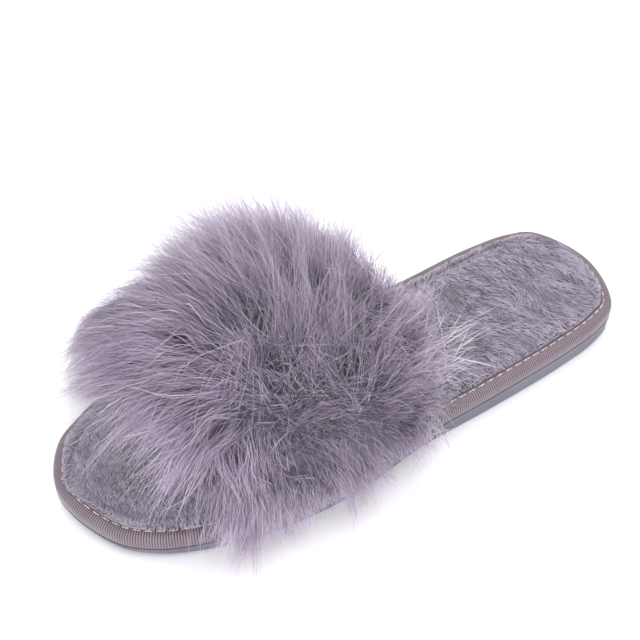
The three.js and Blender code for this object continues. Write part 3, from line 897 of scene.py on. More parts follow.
@dataclass
class Binding:
    """The ribbed tape folded round the footbed's edge, with the stitches that hold it."""

    last: Last
    rib_mm: float = 1.07
    rib_height: float = 0.22
    steps_per_rib: int = 3
    bend: float = 2.4
    sag: float = 0.35
    stitch_inset: float = 3.75
    stitch_pitch: float = 5.0
    stitch_length: float = 4.1
    stitch_dive: float = 0.28
    thread: float = 0.62
    valley: float = 0.22

    @property
    def ribs(self) -> int:
        """How many ribs fit round the tape."""
        return round(self.last.perimeter() / self.rib_mm)

    def section(self) -> list[tuple[float, float, float]]:
        """The C section, from its lower inner end: inset, rise, and how much of the ribs shows."""
        top, bend, tape, leg = self.last.binding_height, self.bend, self.last.tape, self.last.binding_leg
        return [
            (leg, 0, 0), (0.4, 0.05, 0.6), (0.04, 0.5, 1), (0, top - bend, 1), (0.18, top - 1.4, 1),
            (0.75, top - 0.62, 1), (1.6, top - 0.12, 1), (bend, top, 1),
            (self.stitch_inset - 0.5, top - 0.08, 0.9), (self.stitch_inset, top - self.valley, 0.7),
            (self.stitch_inset + 0.5, top - 0.2, 0.9), (leg, top - self.sag, 0.8),
            (leg, top - self.sag - tape, 0), (bend, top - tape, 0), (tape, top - bend, 0),
            (tape, tape, 0), (leg, tape, 0),
        ]

    def place(self, u: Array, v: Array) -> Array:
        """Points of the tape's skin, the ribs raised along the section's own normal."""
        rows = np.array(self.section())
        count = len(rows)
        i = np.round(v * count).astype(int) % count
        along = np.roll(rows, -1, axis=0)[:, :2] - np.roll(rows, 1, axis=0)[:, :2]
        out = unit(np.stack([-along[:, 1], along[:, 0]], axis=1))
        inset, rise, shows = rows[i].T
        wave = np.cos(math.tau * u * self.ribs)
        lift = self.rib_height * shows * (np.abs((wave + 1) / 2) ** 0.7 - 0.5)
        places = self.last.even_places(self.ribs * self.steps_per_rib)
        at = places[np.round(u * len(places)).astype(int) % len(places)]
        inset, rise = inset + lift * out[i, 0], rise + lift * out[i, 1]
        return sole_point(self.last, at, np.ones_like(at), inset, self.last.layer(rise))

    def build(self) -> Object:
        """Builds and dresses the tape."""
        columns = self.ribs * self.steps_per_rib
        mesh = skin("binding_tape", columns, len(self.section()), self.place, True, True, TAPE_MAP)
        piece = finish_mesh("binding_tape", mesh, Grosgrain(ribs=self.ribs).material())
        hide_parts("binding")
        return piece

    def stitches(self, rng: np.random.Generator) -> Object:
        """Builds the line of stitches along the tape's inner edge.

        Args:
            rng: shifts and turns each stitch a little, as a machine seam does.

        Returns:
            The stitches as one piece.
        """
        form = bmesh.new()
        bmesh.ops.create_uvsphere(form, u_segments=8, v_segments=6, radius=1)
        shape = Template(form)
        count = round(self.last.perimeter() / self.stitch_pitch)
        at = self.last.even_places(count)
        inset = self.stitch_inset + rng.normal(0, 0.06, count)
        level = self.last.layer(self.last.binding_height - self.valley + 0.1)
        before, centre, after = (
            sole_point(self.last, at + step, np.ones(count), inset, level) for step in (-1e-3, 0, 1e-3)
        )
        tangent = unit(after - before)
        across = unit(np.cross(tangent, [0, 0, 1]) + tangent * rng.normal(0, 0.05, (count, 1)))
        up = np.cross(across, tangent)
        long, half = self.stitch_length / 2, self.thread / 2
        x, y, z = (shape.points[None, :, k, None] for k in range(3))
        copies = (
            centre[:, None] + z * long * tangent[:, None] + x * half * across[:, None]
            + (y * half - self.stitch_dive * z**2) * up[:, None]
        )
        mesh = shape.lay("binding_stitches", copies)
        return finish_mesh("binding_stitches", mesh, SpunThread().material())


@dataclass
class Footbed:
    """The pile cover: its ground, shaped in soft tufts, and the fibres that stand on it."""

    last: Last
    hairs: int = 19000
    rim_share: float = 0.28
    rim_depth: float = 3.2
    nap: float = 0.33
    tuft_mm: float = 3.0
    relief: float = 1.35
    ground: float = 0.7
    swell_mm: float = 12.0
    swirl_mm: float = 16.0
    fibre: float = 7.2
    fibre_width: float = 0.46
    reach_heel: float = 5.0
    reach_toe: float = 2.4
    hidden: tuple[float, float] = (-62.0, 0.0)
    hidden_share: float = 0.2
    # where along y the painted shadow of the fur falls on the bed, and how wide it is
    shaded_at: float = 14.0
    shaded_width: float = 16.0
    ripple: Ripple = field(default_factory=lambda: Ripple(SEED + 1))

    def shoulder(self, reach: Array) -> Array:
        """Share of the pile's height at a distance in from the tape, in shares of the rounding."""
        return read(((0, 0.2), (0.12, 0.55), (0.45, 0.9), (1, 1)), reach)

    def calm(self, y: Array) -> Array:
        """From 0 at the heel, where the pile is long and tousled, to 1 at the toe, where it is short."""
        return read(((0.55, 0), (0.72, 1)), (self.last.half - y) / self.last.length)

    def streaks(self, points: Array, across: float, along: float) -> Array:
        """A random field drawn out along the nap."""
        cosine, sine = math.cos(self.nap), math.sin(self.nap)
        turn = np.array([[cosine, sine, 0], [-sine, cosine, 0], [0, 0, 0]])
        warp = 5 * np.stack([self.ripple.at(points * [1, 1, 0] + k, 20.0) for k in (5, 60, 0)], axis=-1)
        return self.ripple.at((points + warp) @ turn.T + 200, np.array([along, across, 10.0]))

    def lumps(self, points: Array) -> Array:
        """Relief of the brushed nap: streaks along it, and broader swells."""
        rough = 1 - 0.6 * self.calm(points[..., 1])
        swells = self.ripple.at(points * [1, 1, 0] + 40, self.swell_mm)
        return self.relief * rough * (0.6 * self.streaks(points, self.tuft_mm, 11.0) + 0.55 * swells)

    def surface(self, at: Array, reach: Array) -> Array:
        """Points on top of the pile.

        Args:
            at: places on the outline, from 0 to 1.
            reach: 1 at the tape's inner edge, 0 half way between the sides.

        Returns:
            One point a row.
        """
        last = self.last
        flat = sole_point(last, at, reach, np.full_like(at, last.bed_edge), last.layer(0))
        edge = sole_point(last, at, np.ones_like(at), np.full_like(at, last.bed_edge), last.layer(0))
        inward = np.linalg.norm((flat - edge)[:, :2], axis=1) / last.pile_round
        return self.top(flat, inward)

    def top(self, flat: Array, inward: Array) -> Array:
        """Lifts points on to the pile, given their distances in from the tape in shares of the rounding."""
        last = self.last
        points = flat * [1, 1, 0]
        base = last.layer(last.core + last.clearance)(flat[:, 1])
        points[:, 2] = base + self.shoulder(inward) * (last.pile - self.ground)
        points[:, 2] += self.lumps(points) * np.clip(inward * 2, 0.15, 1)
        return points

    def place(self, u: Array, v: Array) -> Array:
        """Points of the cover's skin: a flat underside, then the edge and the tufted top."""
        last = self.last
        reach = np.where(v < 0.1, v / 0.1, np.where(v < 0.16, 1, np.clip((1 - v) / 0.84, 0, 1) ** 0.8))
        top = self.surface(u, reach)
        level = last.layer(last.core + last.clearance)
        floor = sole_point(last, u, reach, np.full_like(u, last.bed_edge), level)
        return np.where((v < 0.13)[:, None], floor, top)

    def bed_roots(self, count: int, rng: np.random.Generator) -> tuple[Array, Array, Array]:
        """Roots spread over the bed, few of them where the strap hides it.

        Args:
            count: how many.
            rng: spreads them.

        Returns:
            The roots, their distances in from the tape in shares of the rounding, and the way out.
        """
        last = self.last
        y = rng.uniform(-last.half + 6, last.half - 6, 6 * count)
        hidden = (y > self.hidden[0]) & (y < self.hidden[1])
        y = y[~hidden | (rng.random(len(y)) < self.hidden_share)]
        lateral, medial = last.edge(Side.LATERAL, y, last.bed_edge), last.edge(Side.MEDIAL, y, last.bed_edge)
        keep = rng.random(len(y)) < (lateral - medial) / last.ball_width
        y, lateral, medial = y[keep][:count], lateral[keep][:count], medial[keep][:count]
        across = rng.uniform(-1, 1, len(y))
        x = (lateral + medial) / 2 + across * (lateral - medial) / 2
        edge = np.minimum(lateral - x, x - medial)
        tips = np.maximum(last.half - np.abs(y) - last.bed_edge, 0)
        flat = np.stack([x, y, np.zeros_like(x)], axis=1)
        inward = np.minimum(edge, tips) / last.pile_round
        ends = np.clip(np.abs(y) / last.half, 0, 1) ** 6 * np.sign(y)
        return self.top(flat, inward), inward, unit(np.stack([across, ends, np.zeros_like(x)], axis=1))

    def rim_roots(self, count: int, rng: np.random.Generator) -> tuple[Array, Array, Array]:
        """Roots along the tape's inner edge, as bed_roots gives them."""
        at, depth = rng.random(count), self.rim_depth * rng.random(count) ** 1.5
        here, inward = self.last.stations(at)
        flat = here + (self.last.bed_edge + depth)[:, None] * inward
        flat = np.concatenate([flat, np.zeros((count, 1))], axis=1)
        share = depth / self.last.pile_round
        return self.top(flat, share), share, np.concatenate([-inward, np.zeros((count, 1))], axis=1)

    def fibres(self, rng: np.random.Generator) -> Mesh:
        """Lays the pile's fibres along the nap, and outwards over the tape at the edge.

        Args:
            rng: spreads the fibres.

        Returns:
            Their joined mesh.
        """
        count = self.hairs // 1
        rim_count = int(count * self.rim_share)
        parts = zip(self.bed_roots(count - rim_count, rng), self.rim_roots(rim_count, rng), strict=True)
        roots, inward, outward = (np.concatenate(pair) for pair in parts)
        count, calm = len(roots), self.calm(roots[:, 1])
        swirl = self.ripple.at(roots * [1, 1, 0] + 9, self.swirl_mm)
        heading = self.nap + swirl * (1.3 - 0.5 * calm) - 0.9 * calm
        lie = np.stack([np.cos(heading), np.sin(heading), np.zeros(count)], axis=1)
        rim = (np.clip(1 - 1.6 * inward, 0, 1) ** 0.7)[:, None]
        near_side = np.clip(outward[:, 0], 0, 1) ** 2 * (1 - calm)
        spread = rng.normal(0, 0.3, (count, 3)) * [1, 1, 0]
        lean = unit(lie * (1 - 0.85 * rim) + outward * rim * 1.3 + spread)
        length = self.fibre * rng.uniform(0.7, 1.15, count) * (1 - 0.35 * calm)
        length *= 1 - rim[:, 0] * (0.25 + 0.3 * near_side - 0.3 * calm)
        crease = self.streaks(roots, self.tuft_mm * 0.8, 9.0)
        rise = 0.36 + 0.22 * calm + 0.16 * self.ripple.at(roots * [1, 1, 0], 5.0)
        rise += (0.1 + 0.25 * calm) * rim[:, 0]
        t = np.linspace(0, 1, 3)[None, :, None]
        size = length[:, None, None]
        up = size * t * (rise[:, None, None] * (1.5 - 0.9 * t)) * [[[0, 0, 1]]]
        run = lean[:, None] * size * (0.35 * t + 0.5 * t**2)
        spines = roots[:, None] - [0, 0, 0.5] + up + run
        spines[..., 2] += 1.2 * (1 - calm[:, None]) * crease[:, None] * t[..., 0]
        # painted shade on the fibres lying low in the creases of the nap, and painted light on the rim fibres
        tones = 0.55 + 0.75 * crease * (1 - 0.55 * calm) + 0.25 * rim[:, 0] + rng.normal(0, 0.12, count)
        # painted shadow of the fur on the bed just behind the strap
        tones -= 0.4 * np.exp(-(((roots[:, 1] - self.shaded_at) / self.shaded_width) ** 2))
        widths = self.fibre_width * rng.uniform(0.75, 1.25, count) * (1 - 0.2 * calm)
        return lay_hairs("footbed_fibres", self.over_tape(spines), widths, np.clip(tones, 0, 1), rng)

    def over_tape(self, spines: Array) -> Array:
        """Keeps the fibres that reach over the tape on top of it, and inside its outer edge."""
        last = self.last
        x, y, z = np.moveaxis(spines, -1, 0)
        inset = self.reach_heel + (self.reach_toe - self.reach_heel) * self.calm(y)
        inset = inset + 0.7 * self.ripple.at(spines * [1, 1, 0] + 90, 3.5)
        lateral = last.edge(Side.LATERAL, y, self.reach_heel) + self.reach_heel - inset
        medial = last.edge(Side.MEDIAL, y, self.reach_heel) - self.reach_heel + inset
        x = np.clip(x, medial, lateral)
        y = np.clip(y, inset - last.half, last.half - inset)
        over = (x > lateral + inset - last.bed_edge) | (x < medial - inset + last.bed_edge)
        top = last.layer(last.binding_height + 0.6)(y)
        return np.stack([x, y, np.where(over, np.maximum(z, top), z)], axis=-1)

    def build(self, rng: np.random.Generator) -> list[Object]:
        """Builds and dresses the cover and its fibres."""
        rows = 44
        ground = skin("footbed_pile", 264, rows, self.place, round_columns=True)
        cover = finish_mesh("footbed_pile", ground, BrushedPile().material())
        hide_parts("insole_plush")
        finish = Hair(
            "Polyester plush fibre, brushed",
            ((0, "#655d6c"), (0.35, "#8c8394"), (0.75, "#b3aaba"), (1, "#cfc8d4")),
            dark=0.56, light=1.34, patch_mm=12, roughness=0.7,
        )
        fibres = finish_mesh("footbed_fibres", self.fibres(rng), finish.material())
        return [cover, fibres]


@dataclass
class Strap:
    """The strap's own cloth: its lining and the backing that the fur is sewn to."""

    last: Last

    def place(self, u: Array, v: Array) -> Array:
        """Points of the strap's skin, inner face then outer face, with rounded edges."""
        wall = self.last.strap_wall
        turn = math.tau * v
        flat = np.clip(np.cos(turn) * 1.25, -1, 1)
        thick = np.sign(np.sin(turn)) * np.abs(np.sin(turn)) ** 0.35
        edge = 0.4 / self.last.strap_length
        forward = 0.5 + flat * (0.5 - edge) + edge * np.cos(turn)
        return self.last.strap_offset(u, forward, wall / 2 + thick * wall / 2)

    def build(self) -> Object:
        """Builds and dresses the strap."""
        mesh = skin("strap_cloth", 72, 40, self.place, round_rows=True)
        form = bmesh.new()
        form.from_mesh(mesh)
        bmesh.ops.holes_fill(form, edges=[edge for edge in form.edges if edge.is_boundary], sides=0)
        bmesh.ops.recalc_face_normals(form, faces=form.faces)
        form.to_mesh(mesh)
        form.free()
        piece = finish_mesh("strap_cloth", mesh, KnitLining().material())
        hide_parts("strap")
        self.last.strap_flat()
        return piece


@dataclass(frozen=True)
class Coat:
    """One coat of the fur: how many hairs it has, and how they grow.

    Starts and ends are shares of the fur's own line there, gathers run from 0 to 1, and widths,
    bows and curls are in millimetres.
    """

    name: str
    hairs: int
    steps: int
    start: float
    ends: tuple[float, float]
    width: float
    to_tuft: float
    to_lock: float
    stray: float
    curl: float
    bow: float = 3.0
    thinning: float = 1.0
    tufts: int = 640
    parts: int = 1
    lean: tuple[float, float] = (0.0, 0.0)
    between: tuple[float, float] = (0.01, 0.99)
    along: tuple[float, float] | None = None


@dataclass(frozen=True)
class Tones:
    """How light the hairs are, from 0 to 1: the middle tone, and what each place adds or takes, painted light
    and shade among them.
    """

    middle: float = 0.7
    # painted light on the lower side of the fur, below the parting
    below: float = 0.12
    # painted light on the top of the fur
    lit_crest: float = 0.34
    core: float = -0.62
    # painted shade in the parting and the hollows
    groove: float = -0.7
    hair: float = 0.14
    tuft: float = 0.28


@dataclass
class Fur:
    """The deep fur on the strap: backing, down, locks and guard hairs.

    The tables say how it lies round the arch, from the lateral foot (0) to the medial foot (1), and
    from the strap's rear edge (0) to its front edge (1): depths and lengths as shares, and leans
    against the rise from the strap. It parts along a line above the lateral foot. Places are given
    as (around, forward).
    """

    last: Last
    rng: np.random.Generator
    undercoat: float = 11.0
    rear: float = 3.0
    front: float = 9.0
    length: float = 40.0
    lock_count: int = 92
    bend: float = 0.55
    rise: float = 0.5
    lie: float = 0.8
    lift: float = 0.6
    seat: float = 0.4
    vary_lean: float = 0.4
    vary_length: float = 0.15
    sway: float = 0.8
    sway_mm: float = 14.0
    sway_apart: float = 70.0
    to_floor: float = 1.5
    to_tape: float = 0.4
    to_bed: float = 2.6
    bed_side: float = 8.0
    rear_band: float = 0.35
    parting: Table = ((0, 0.12), (0.9, 0.24))
    parting_width: float = 0.03
    parting_depth: float = 0.7
    round_under: Table = ((0, 0.42), (0.1, 0.6), (0.22, 0.8), (0.4, 0.95), (0.55, 1), (0.78, 1), (1, 0.7))
    round_length: Table = (
        (0, 0.28), (0.1, 0.4), (0.22, 0.62), (0.4, 0.96), (0.55, 1.14), (0.78, 0.95), (1, 0.9),
    )
    rear_length: Table = ((0, 1.9), (0.1, 2.3), (0.22, 2), (0.4, 1.2), (0.55, 1), (1, 1))
    round_rear: Table = ((0, 1), (0.1, 1), (0.22, 0.5), (0.4, 0.1), (0.55, 0), (0.78, 0), (1, 0.2))
    round_toe: Table = ((0, 0.1), (0.1, 0.2), (0.22, 0.55), (0.4, 0.95), (0.55, 1), (0.78, 0.78), (1, 0.9))
    round_sag: Table = ((0, 0.6), (0.1, 0.6), (0.22, 0.7), (0.4, 0.95), (0.55, 1.1), (0.78, 1.7), (1, 1.6))
    beside_lean: Table = (
        (-0.3, -1), (-0.05, -1.35), (0.01, 0.1), (0.07, 1.15), (0.35, 0.85), (0.55, 0.6), (0.85, 0.8),
    )
    ahead_under: Table = ((0, 0.5), (0.2, 0.9), (0.45, 1), (0.7, 1), (0.88, 0.9), (1, 0.5))
    ahead_length: Table = ((0, 0.44), (0.2, 0.78), (0.45, 1.1), (0.7, 1.1), (0.88, 1.12), (1, 1.22))
    ahead_lean: Table = ((0, -0.75), (0.2, -0.45), (0.45, -0.1), (0.7, 0.4), (0.88, 0.95), (1, 1.4))
    ahead_side: Table = ((0, 1), (0.2, 1), (0.45, 1), (0.7, 0.9), (0.88, 0.6), (1, 0.4))
    droop: Table = ((0, 0.25), (0.2, 0.28), (0.45, 0.32), (0.7, 0.65), (0.88, 1.3), (1, 1.9))
    hollows: Table = ((0.22, 0.74), (0.15, 0.2))
    hollow_size: tuple[float, float] = (0.08, 0.14)
    hollow_mm: float = 5.0
    gaps: int = 26
    gap_mm: float = 4.2
    groove_cut: float = 0.68
    core: tuple[float, float] = (0.37, 0.42)
    core_size: tuple[float, float] = (0.19, 0.36)
    # where the painted light on the top of the fur lies round the arch, and its width and forward reach
    lit_crest: float = 0.62
    lit_crest_size: tuple[float, float] = (0.16, 0.7)
    tones: Tones = Tones()
    reach_up: float = 114.0
    reach_in: float = -86.5
    swirl: Ripple = field(default_factory=lambda: Ripple(SEED + 7))

    def span(self, share: float) -> tuple[float, float]:
        """The forward places that reach this share of the fur's overhang past the strap's edges."""
        length = self.last.strap_length
        return -share * self.rear / length, 1 + share * self.front / length

    def depth(self, around: Array, forward: Array) -> Array:
        """Thickness of the dense bed of the fur."""
        bulge = np.sin(math.pi * np.clip(forward, 0.06, 0.94)) ** 0.45
        return self.undercoat * read(self.round_under, around) * read(self.ahead_under, forward) * bulge

    def lean(self, around: Array, forward: Array) -> tuple[Array, Array]:
        """How far the fur leans towards the toe, and round the arch."""
        ahead = read(self.ahead_lean, forward)
        ahead = ahead * np.where(ahead < 0, read(self.round_rear, around), read(self.round_toe, around))
        beside = around - read(self.parting, forward)
        return ahead, read(self.beside_lean, beside) * read(self.ahead_side, forward)

    def guides(self, around: Array, forward: Array, vary: Array, spread: Array) -> Array:
        """Bent centre lines of the fur, from the strap outwards.

        Args:
            around: places of the roots round the arch.
            forward: places of the roots from rear to front.
            vary: from -1 to 1, how each lock differs in lean and length.
            spread: an extra lean to the toe and round the arch, one pair a row.

        Returns:
            Points in millimetres, as line, point and axis.
        """
        normal, round_arch, ahead = self.last.strap_axes(around, forward)
        root = self.last.strap_offset(around, forward, self.last.strap_wall + self.seat)
        lean_ahead, lean_round = self.lean(around, forward)
        sway = [self.sway * self.swirl.at(root + k, self.sway_mm) for k in (0, self.sway_apart)]
        lean_ahead = lean_ahead - self.vary_lean * vary + spread[:, 0] + sway[0]
        lean_round = lean_round + self.vary_lean * vary + spread[:, 1] + sway[1]
        lean = ahead * lean_ahead[:, None] + round_arch * lean_round[:, None]
        rise = unit(normal + self.rise * lean)
        fall = self.lift * normal + self.lie * lean
        fall[:, 2] -= read(self.droop, forward) * read(self.round_sag, around)
        size = self.length * read(self.round_length, around) * read(self.ahead_length, forward)
        size = size * (1 + self.vary_length * vary)
        size = size * (1 + (read(self.rear_length, around) - 1) * np.clip(1 - forward / self.rear_band, 0, 1))
        bend = root + rise * size[:, None] * self.bend
        tip = bend + unit(fall) * size[:, None] * (1 - self.bend)
        root, bend, tip = root[:, None], bend[:, None], tip[:, None]
        return root * (1 - GUIDE) ** 2 + bend * 2 * GUIDE * (1 - GUIDE) + tip * GUIDE**2

    def locks(self) -> Array:
        """Centre lines of the main locks, which stand on the strap by steps of the golden ratio."""
        golden = (math.sqrt(5) - 1) / 2
        rear, front = self.rear / self.last.strap_length / 2, self.front / self.last.strap_length / 2
        i = np.arange(self.lock_count)
        around = 0.03 + 0.94 * ((i * golden) % 1)
        forward = -rear + (1 + rear + front) * (i + 0.5) / self.lock_count
        return self.guides(around, forward, 2 * ((i * golden * 7.3) % 1) - 1, np.zeros((self.lock_count, 2)))

    def tufts(self, coat: Coat) -> tuple[Array, Array, Array]:
        """Draws the tufts of a coat, the same ones for every coat with as many of them.

        Args:
            coat: the coat that they gather.

        Returns:
            Their centre lines, their reach as shares of the fur's, and their tones.
        """
        rng, count = np.random.default_rng(coat.tufts), coat.tufts
        lines = self.guides(
            rng.uniform(0.01, 0.99, count), rng.uniform(*self.span(OVERHANG), count),
            rng.uniform(-1, 1, count), rng.normal(0, 0.35, (count, 2)),
        )
        lines = lines + rng.normal(0, coat.bow, (count, 1, 3)) * GUIDE**2
        return lines, rng.uniform(0.8, 1.14, count), rng.uniform(-self.tones.tuft, self.tones.tuft, count)

    def groove(self, around: Array, forward: Array) -> Array:
        """From 0 to 1, how far the fur lies in the parting or in a hollow."""
        beside = (around - read(self.parting, forward)) / self.parting_width
        deep = self.parting_depth * np.exp(-(beside**2))
        for hollow in self.hollows:
            deep = np.maximum(deep, self.patch(around, forward, hollow, self.hollow_size))
        return deep

    @staticmethod
    def patch(around: Array, forward: Array, middle: tuple[float, float], size: tuple[float, float]) -> Array:
        """A soft patch on the strap, 1 at its middle and fading round it."""
        across, along = (around - middle[0]) / size[0], (forward - middle[1]) / size[1]
        return np.exp(-(across**2) - along**2)

    def shade(self, around: Array, forward: Array, below: Array) -> Array:
        """The tone of the hairs: darker in the core, with painted shade in the parting and the hollows and
        painted light on the top and below the parting.
        """
        core = self.patch(around, forward, self.core, self.core_size)
        # painted light on the top of the fur, fading towards the front
        lit_crest = np.exp(-(((around - self.lit_crest) / self.lit_crest_size[0]) ** 2))
        lit_crest = lit_crest * np.clip(1 - forward / self.lit_crest_size[1], 0, 1)
        tones = self.tones
        light = tones.middle + tones.below * below + tones.lit_crest * lit_crest
        return light + tones.core * core + tones.groove * self.groove(around, forward)

    def grow(self, coat: Coat, name: str) -> Mesh:
        """Grows one coat of hair over the whole strap.

        Args:
            coat: how it grows.
            name: the mesh's name.

        Returns:
            The coat as one mesh.
        """
        rng = self.rng
        count = coat.hairs // 1
        around = rng.uniform(*coat.between, count)
        forward = rng.uniform(*(coat.along or self.span(OVERHANG)), count)
        below = np.clip(0.5 - (around - read(self.parting, forward)) / 0.06, 0, 1)
        stray = coat.lean + rng.normal(0, coat.stray, (count, 2)) * (1 + 1.5 * below[:, None])
        own = self.guides(around, forward, rng.uniform(-0.5, 0.5, count), stray)
        tuft, tuft_reach, tuft_tones = self.tufts(coat)
        lock = self.locks()
        near_tuft = self.nearest(own[:, 0], tuft[:, 0])
        near_lock = self.nearest(tuft[:, 0], lock[:, 0])[near_tuft]
        hold = coat.to_tuft * (1 + 0.5 * below[:, None, None]) * GUIDE**GATHER
        to_tuft = np.minimum(hold * rng.uniform(0.5, 1, (count, 1, 1)), 0.9)
        to_lock = coat.to_lock * GUIDE**GATHER * rng.uniform(0.3, 1, (count, 1, 1))
        spines = own + (tuft[near_tuft] - own) * to_tuft
        spines = spines + (lock[near_lock] - spines) * to_lock
        bend = unit(rng.normal(0, 1, (count, 1, 3)))
        turns = rng.uniform(0.6, 1.6, (count, 1, 1)) * math.pi
        phase = rng.uniform(0, math.tau, (count, 1, 1))
        spines = spines + bend * coat.curl * np.sin(turns * GUIDE * 2 + phase) * GUIDE
        spines = self.opened(spines)
        shortest, longest = coat.ends
        ends = shortest + (longest - shortest) * rng.uniform(0, 1, count) ** coat.thinning
        ends = ends * tuft_reach[near_tuft] * (1 - self.groove_cut * self.groove(around, forward))
        spines = self.cut(spines, coat.start, ends, coat.steps)
        spines = self.within(spines, rng.uniform(0.84, 1, count))
        lift = rng.uniform(0, 1.5, (count, 1)) * np.linspace(0, 1, coat.steps + 1)
        spines[..., 2] = np.maximum(spines[..., 2], self.to_floor + lift)
        # the tones carry painted light and shade from shade(), with random tones per tuft and per hair
        tones = self.shade(around, forward, below) + tuft_tones[near_tuft]
        tones = tones + rng.normal(0, self.tones.hair, count)
        widths = coat.width * rng.uniform(0.7, 1.3, count)
        return lay_hairs(name, self.clear(spines), widths, np.clip(tones, 0, 1), rng)

    def within(self, spines: Array, shares: Array) -> Array:
        """Shortens the hairs that would reach past the fur's height or its medial side, to these shares."""
        root = spines[:, :1]
        high, inward = spines[..., 2].max(axis=1), spines[..., 0].min(axis=1)
        up = (self.reach_up - root[:, 0, 2]) / np.maximum(high - root[:, 0, 2], 1)
        side = (self.reach_in - root[:, 0, 0]) / np.minimum(inward - root[:, 0, 0], -1)
        room = np.minimum(up, side)
        room = np.where(room < 1, np.maximum(room * shares, 0.2), 1)
        return root + (spines - root) * room[:, None, None]

    def openings(self) -> list[tuple[float, float, float]]:
        """Where the fur opens: around, forward and width in millimetres."""
        rng = np.random.default_rng(SEED + 7)
        small = zip(rng.uniform(0.2, 0.55, self.gaps), rng.uniform(0.05, 0.95, self.gaps), strict=True)
        wide = [(around, forward, self.hollow_mm) for around, forward in self.hollows]
        return wide + [(around, forward, self.gap_mm * rng.uniform(0.7, 1.3)) for around, forward in small]

    def opened(self, spines: Array) -> Array:
        """Pushes the hairs aside round each opening, more towards their tips."""
        share = GUIDE**0.6
        for around, forward, width in self.openings():
            at = np.array([around]), np.array([forward])
            lean_ahead, lean_round = self.lean(*at)
            normal, round_arch, ahead = self.last.strap_axes(*at)
            axis = unit(normal + 0.7 * (ahead * lean_ahead + round_arch * lean_round))[0]
            away = spines - self.last.strap_offset(*at, self.last.strap_wall)[0]
            side = away - (away @ axis)[..., None] * axis
            far = np.linalg.norm(side, axis=-1, keepdims=True)
            push = 0.9 * width * np.exp(-((far / width) ** 2))
            spines = spines + side / np.maximum(far, 0.5) * push * share
        return spines

    def clear(self, spines: Array) -> Array:
        """Pushes hairs that would run through the sole or the tape out over its edge or its top."""
        last = self.last
        x, y, z = np.moveaxis(spines, -1, 0)
        lateral, medial = last.edge(Side.LATERAL, y, -0.5), last.edge(Side.MEDIAL, y, -0.5)
        within = (x < lateral) & (x > medial) & (np.abs(y) < last.half)
        top = last.layer(last.binding_height + self.to_tape)(y)
        inside_bed = (x < lateral - self.bed_side) & (x > medial + self.bed_side)
        floor = np.where(inside_bed, top + self.to_bed, top)
        sunk = within & (z < floor)
        near_edge = np.minimum(lateral - x, x - medial)
        out = sunk & (near_edge < 5) & (z < top - 1)
        side = np.where(lateral - x < x - medial, lateral, medial)
        return np.stack([np.where(out, side, x), y, np.where(sunk & ~out, floor, z)], axis=-1)

    @staticmethod
    def cut(spines: Array, start: float, ends: Array, steps: int) -> Array:
        """Keeps each line from a share of its run to another, with the given number of segments."""
        fine = spines.shape[1] - 1
        at = (start + (ends[:, None] - start) * np.linspace(0, 1, steps + 1)[None]) * fine
        low = np.clip(at.astype(int), 0, fine - 1)
        part = (at - low)[..., None]
        rows = np.arange(len(spines))[:, None]
        return spines[rows, low] * (1 - part) + spines[rows, low + 1] * part

    @staticmethod
    def nearest(points: Array, targets: Array) -> Array:
        """Number of the target nearest to each point."""
        batches = np.array_split(points, 40)
        return np.concatenate([((part[:, None] - targets[None]) ** 2).sum(-1).argmin(1) for part in batches])

    def backing(self) -> Mesh:
        """The felted ground of the fur over the strap, rounded over its edges, dark with painted shade of the
        deep fur.
        """
        last = self.last
        ripple = Ripple(SEED + 5)
        low, high = self.span(0.7)

        def place(u: Array, v: Array) -> Array:
            turn = math.tau * v
            forward = (low + high) / 2 + np.clip(np.cos(turn) * 1.2, -1, 1) * (high - low) / 2
            outer = np.sin(turn) > 0
            thick = np.abs(np.sin(turn)) ** 0.5 * self.depth(u, np.clip(forward, 0, 1)) * 0.75
            points = last.strap_offset(u, forward, last.strap_wall + 0.35 + np.where(outer, thick, 0))
            bumps = 0.9 * ripple.at(points, 4.5) * outer
            return points + last.strap_axes(u, forward)[0] * bumps[:, None] * (thick > 1)[:, None]

        return skin("fur_backing", 90, 56, place, round_rows=True)

    def build(self) -> list[Object]:
        """Builds and dresses the backing and the coats."""
        down = Hair(
            "Fur down, dyed",
            ((0, "#4a3f56"), (0.35, "#81748c"), (0.62, "#b0a0ba"), (0.82, "#dccde1"), (1, "#fbf1fa")),
            dark=0.5, light=1.4, patch_mm=14,
        ).material()
        lock = Hair(
            "Fur locks, dyed and brushed",
            ((0, "#463c51"), (0.4, "#83768f"), (0.75, "#b0a1ba"), (1, "#ecdfed")),
            dark=0.5, light=1.4, patch_mm=16,
        ).material()
        guard = Hair(
            "Fur guard hair, undyed",
            ((0, "#9c90a4"), (0.4, "#c9bfce"), (1, "#f6eff5")),
            dark=0.6, light=1.25, patch_mm=20, roughness=0.45,
        ).material()
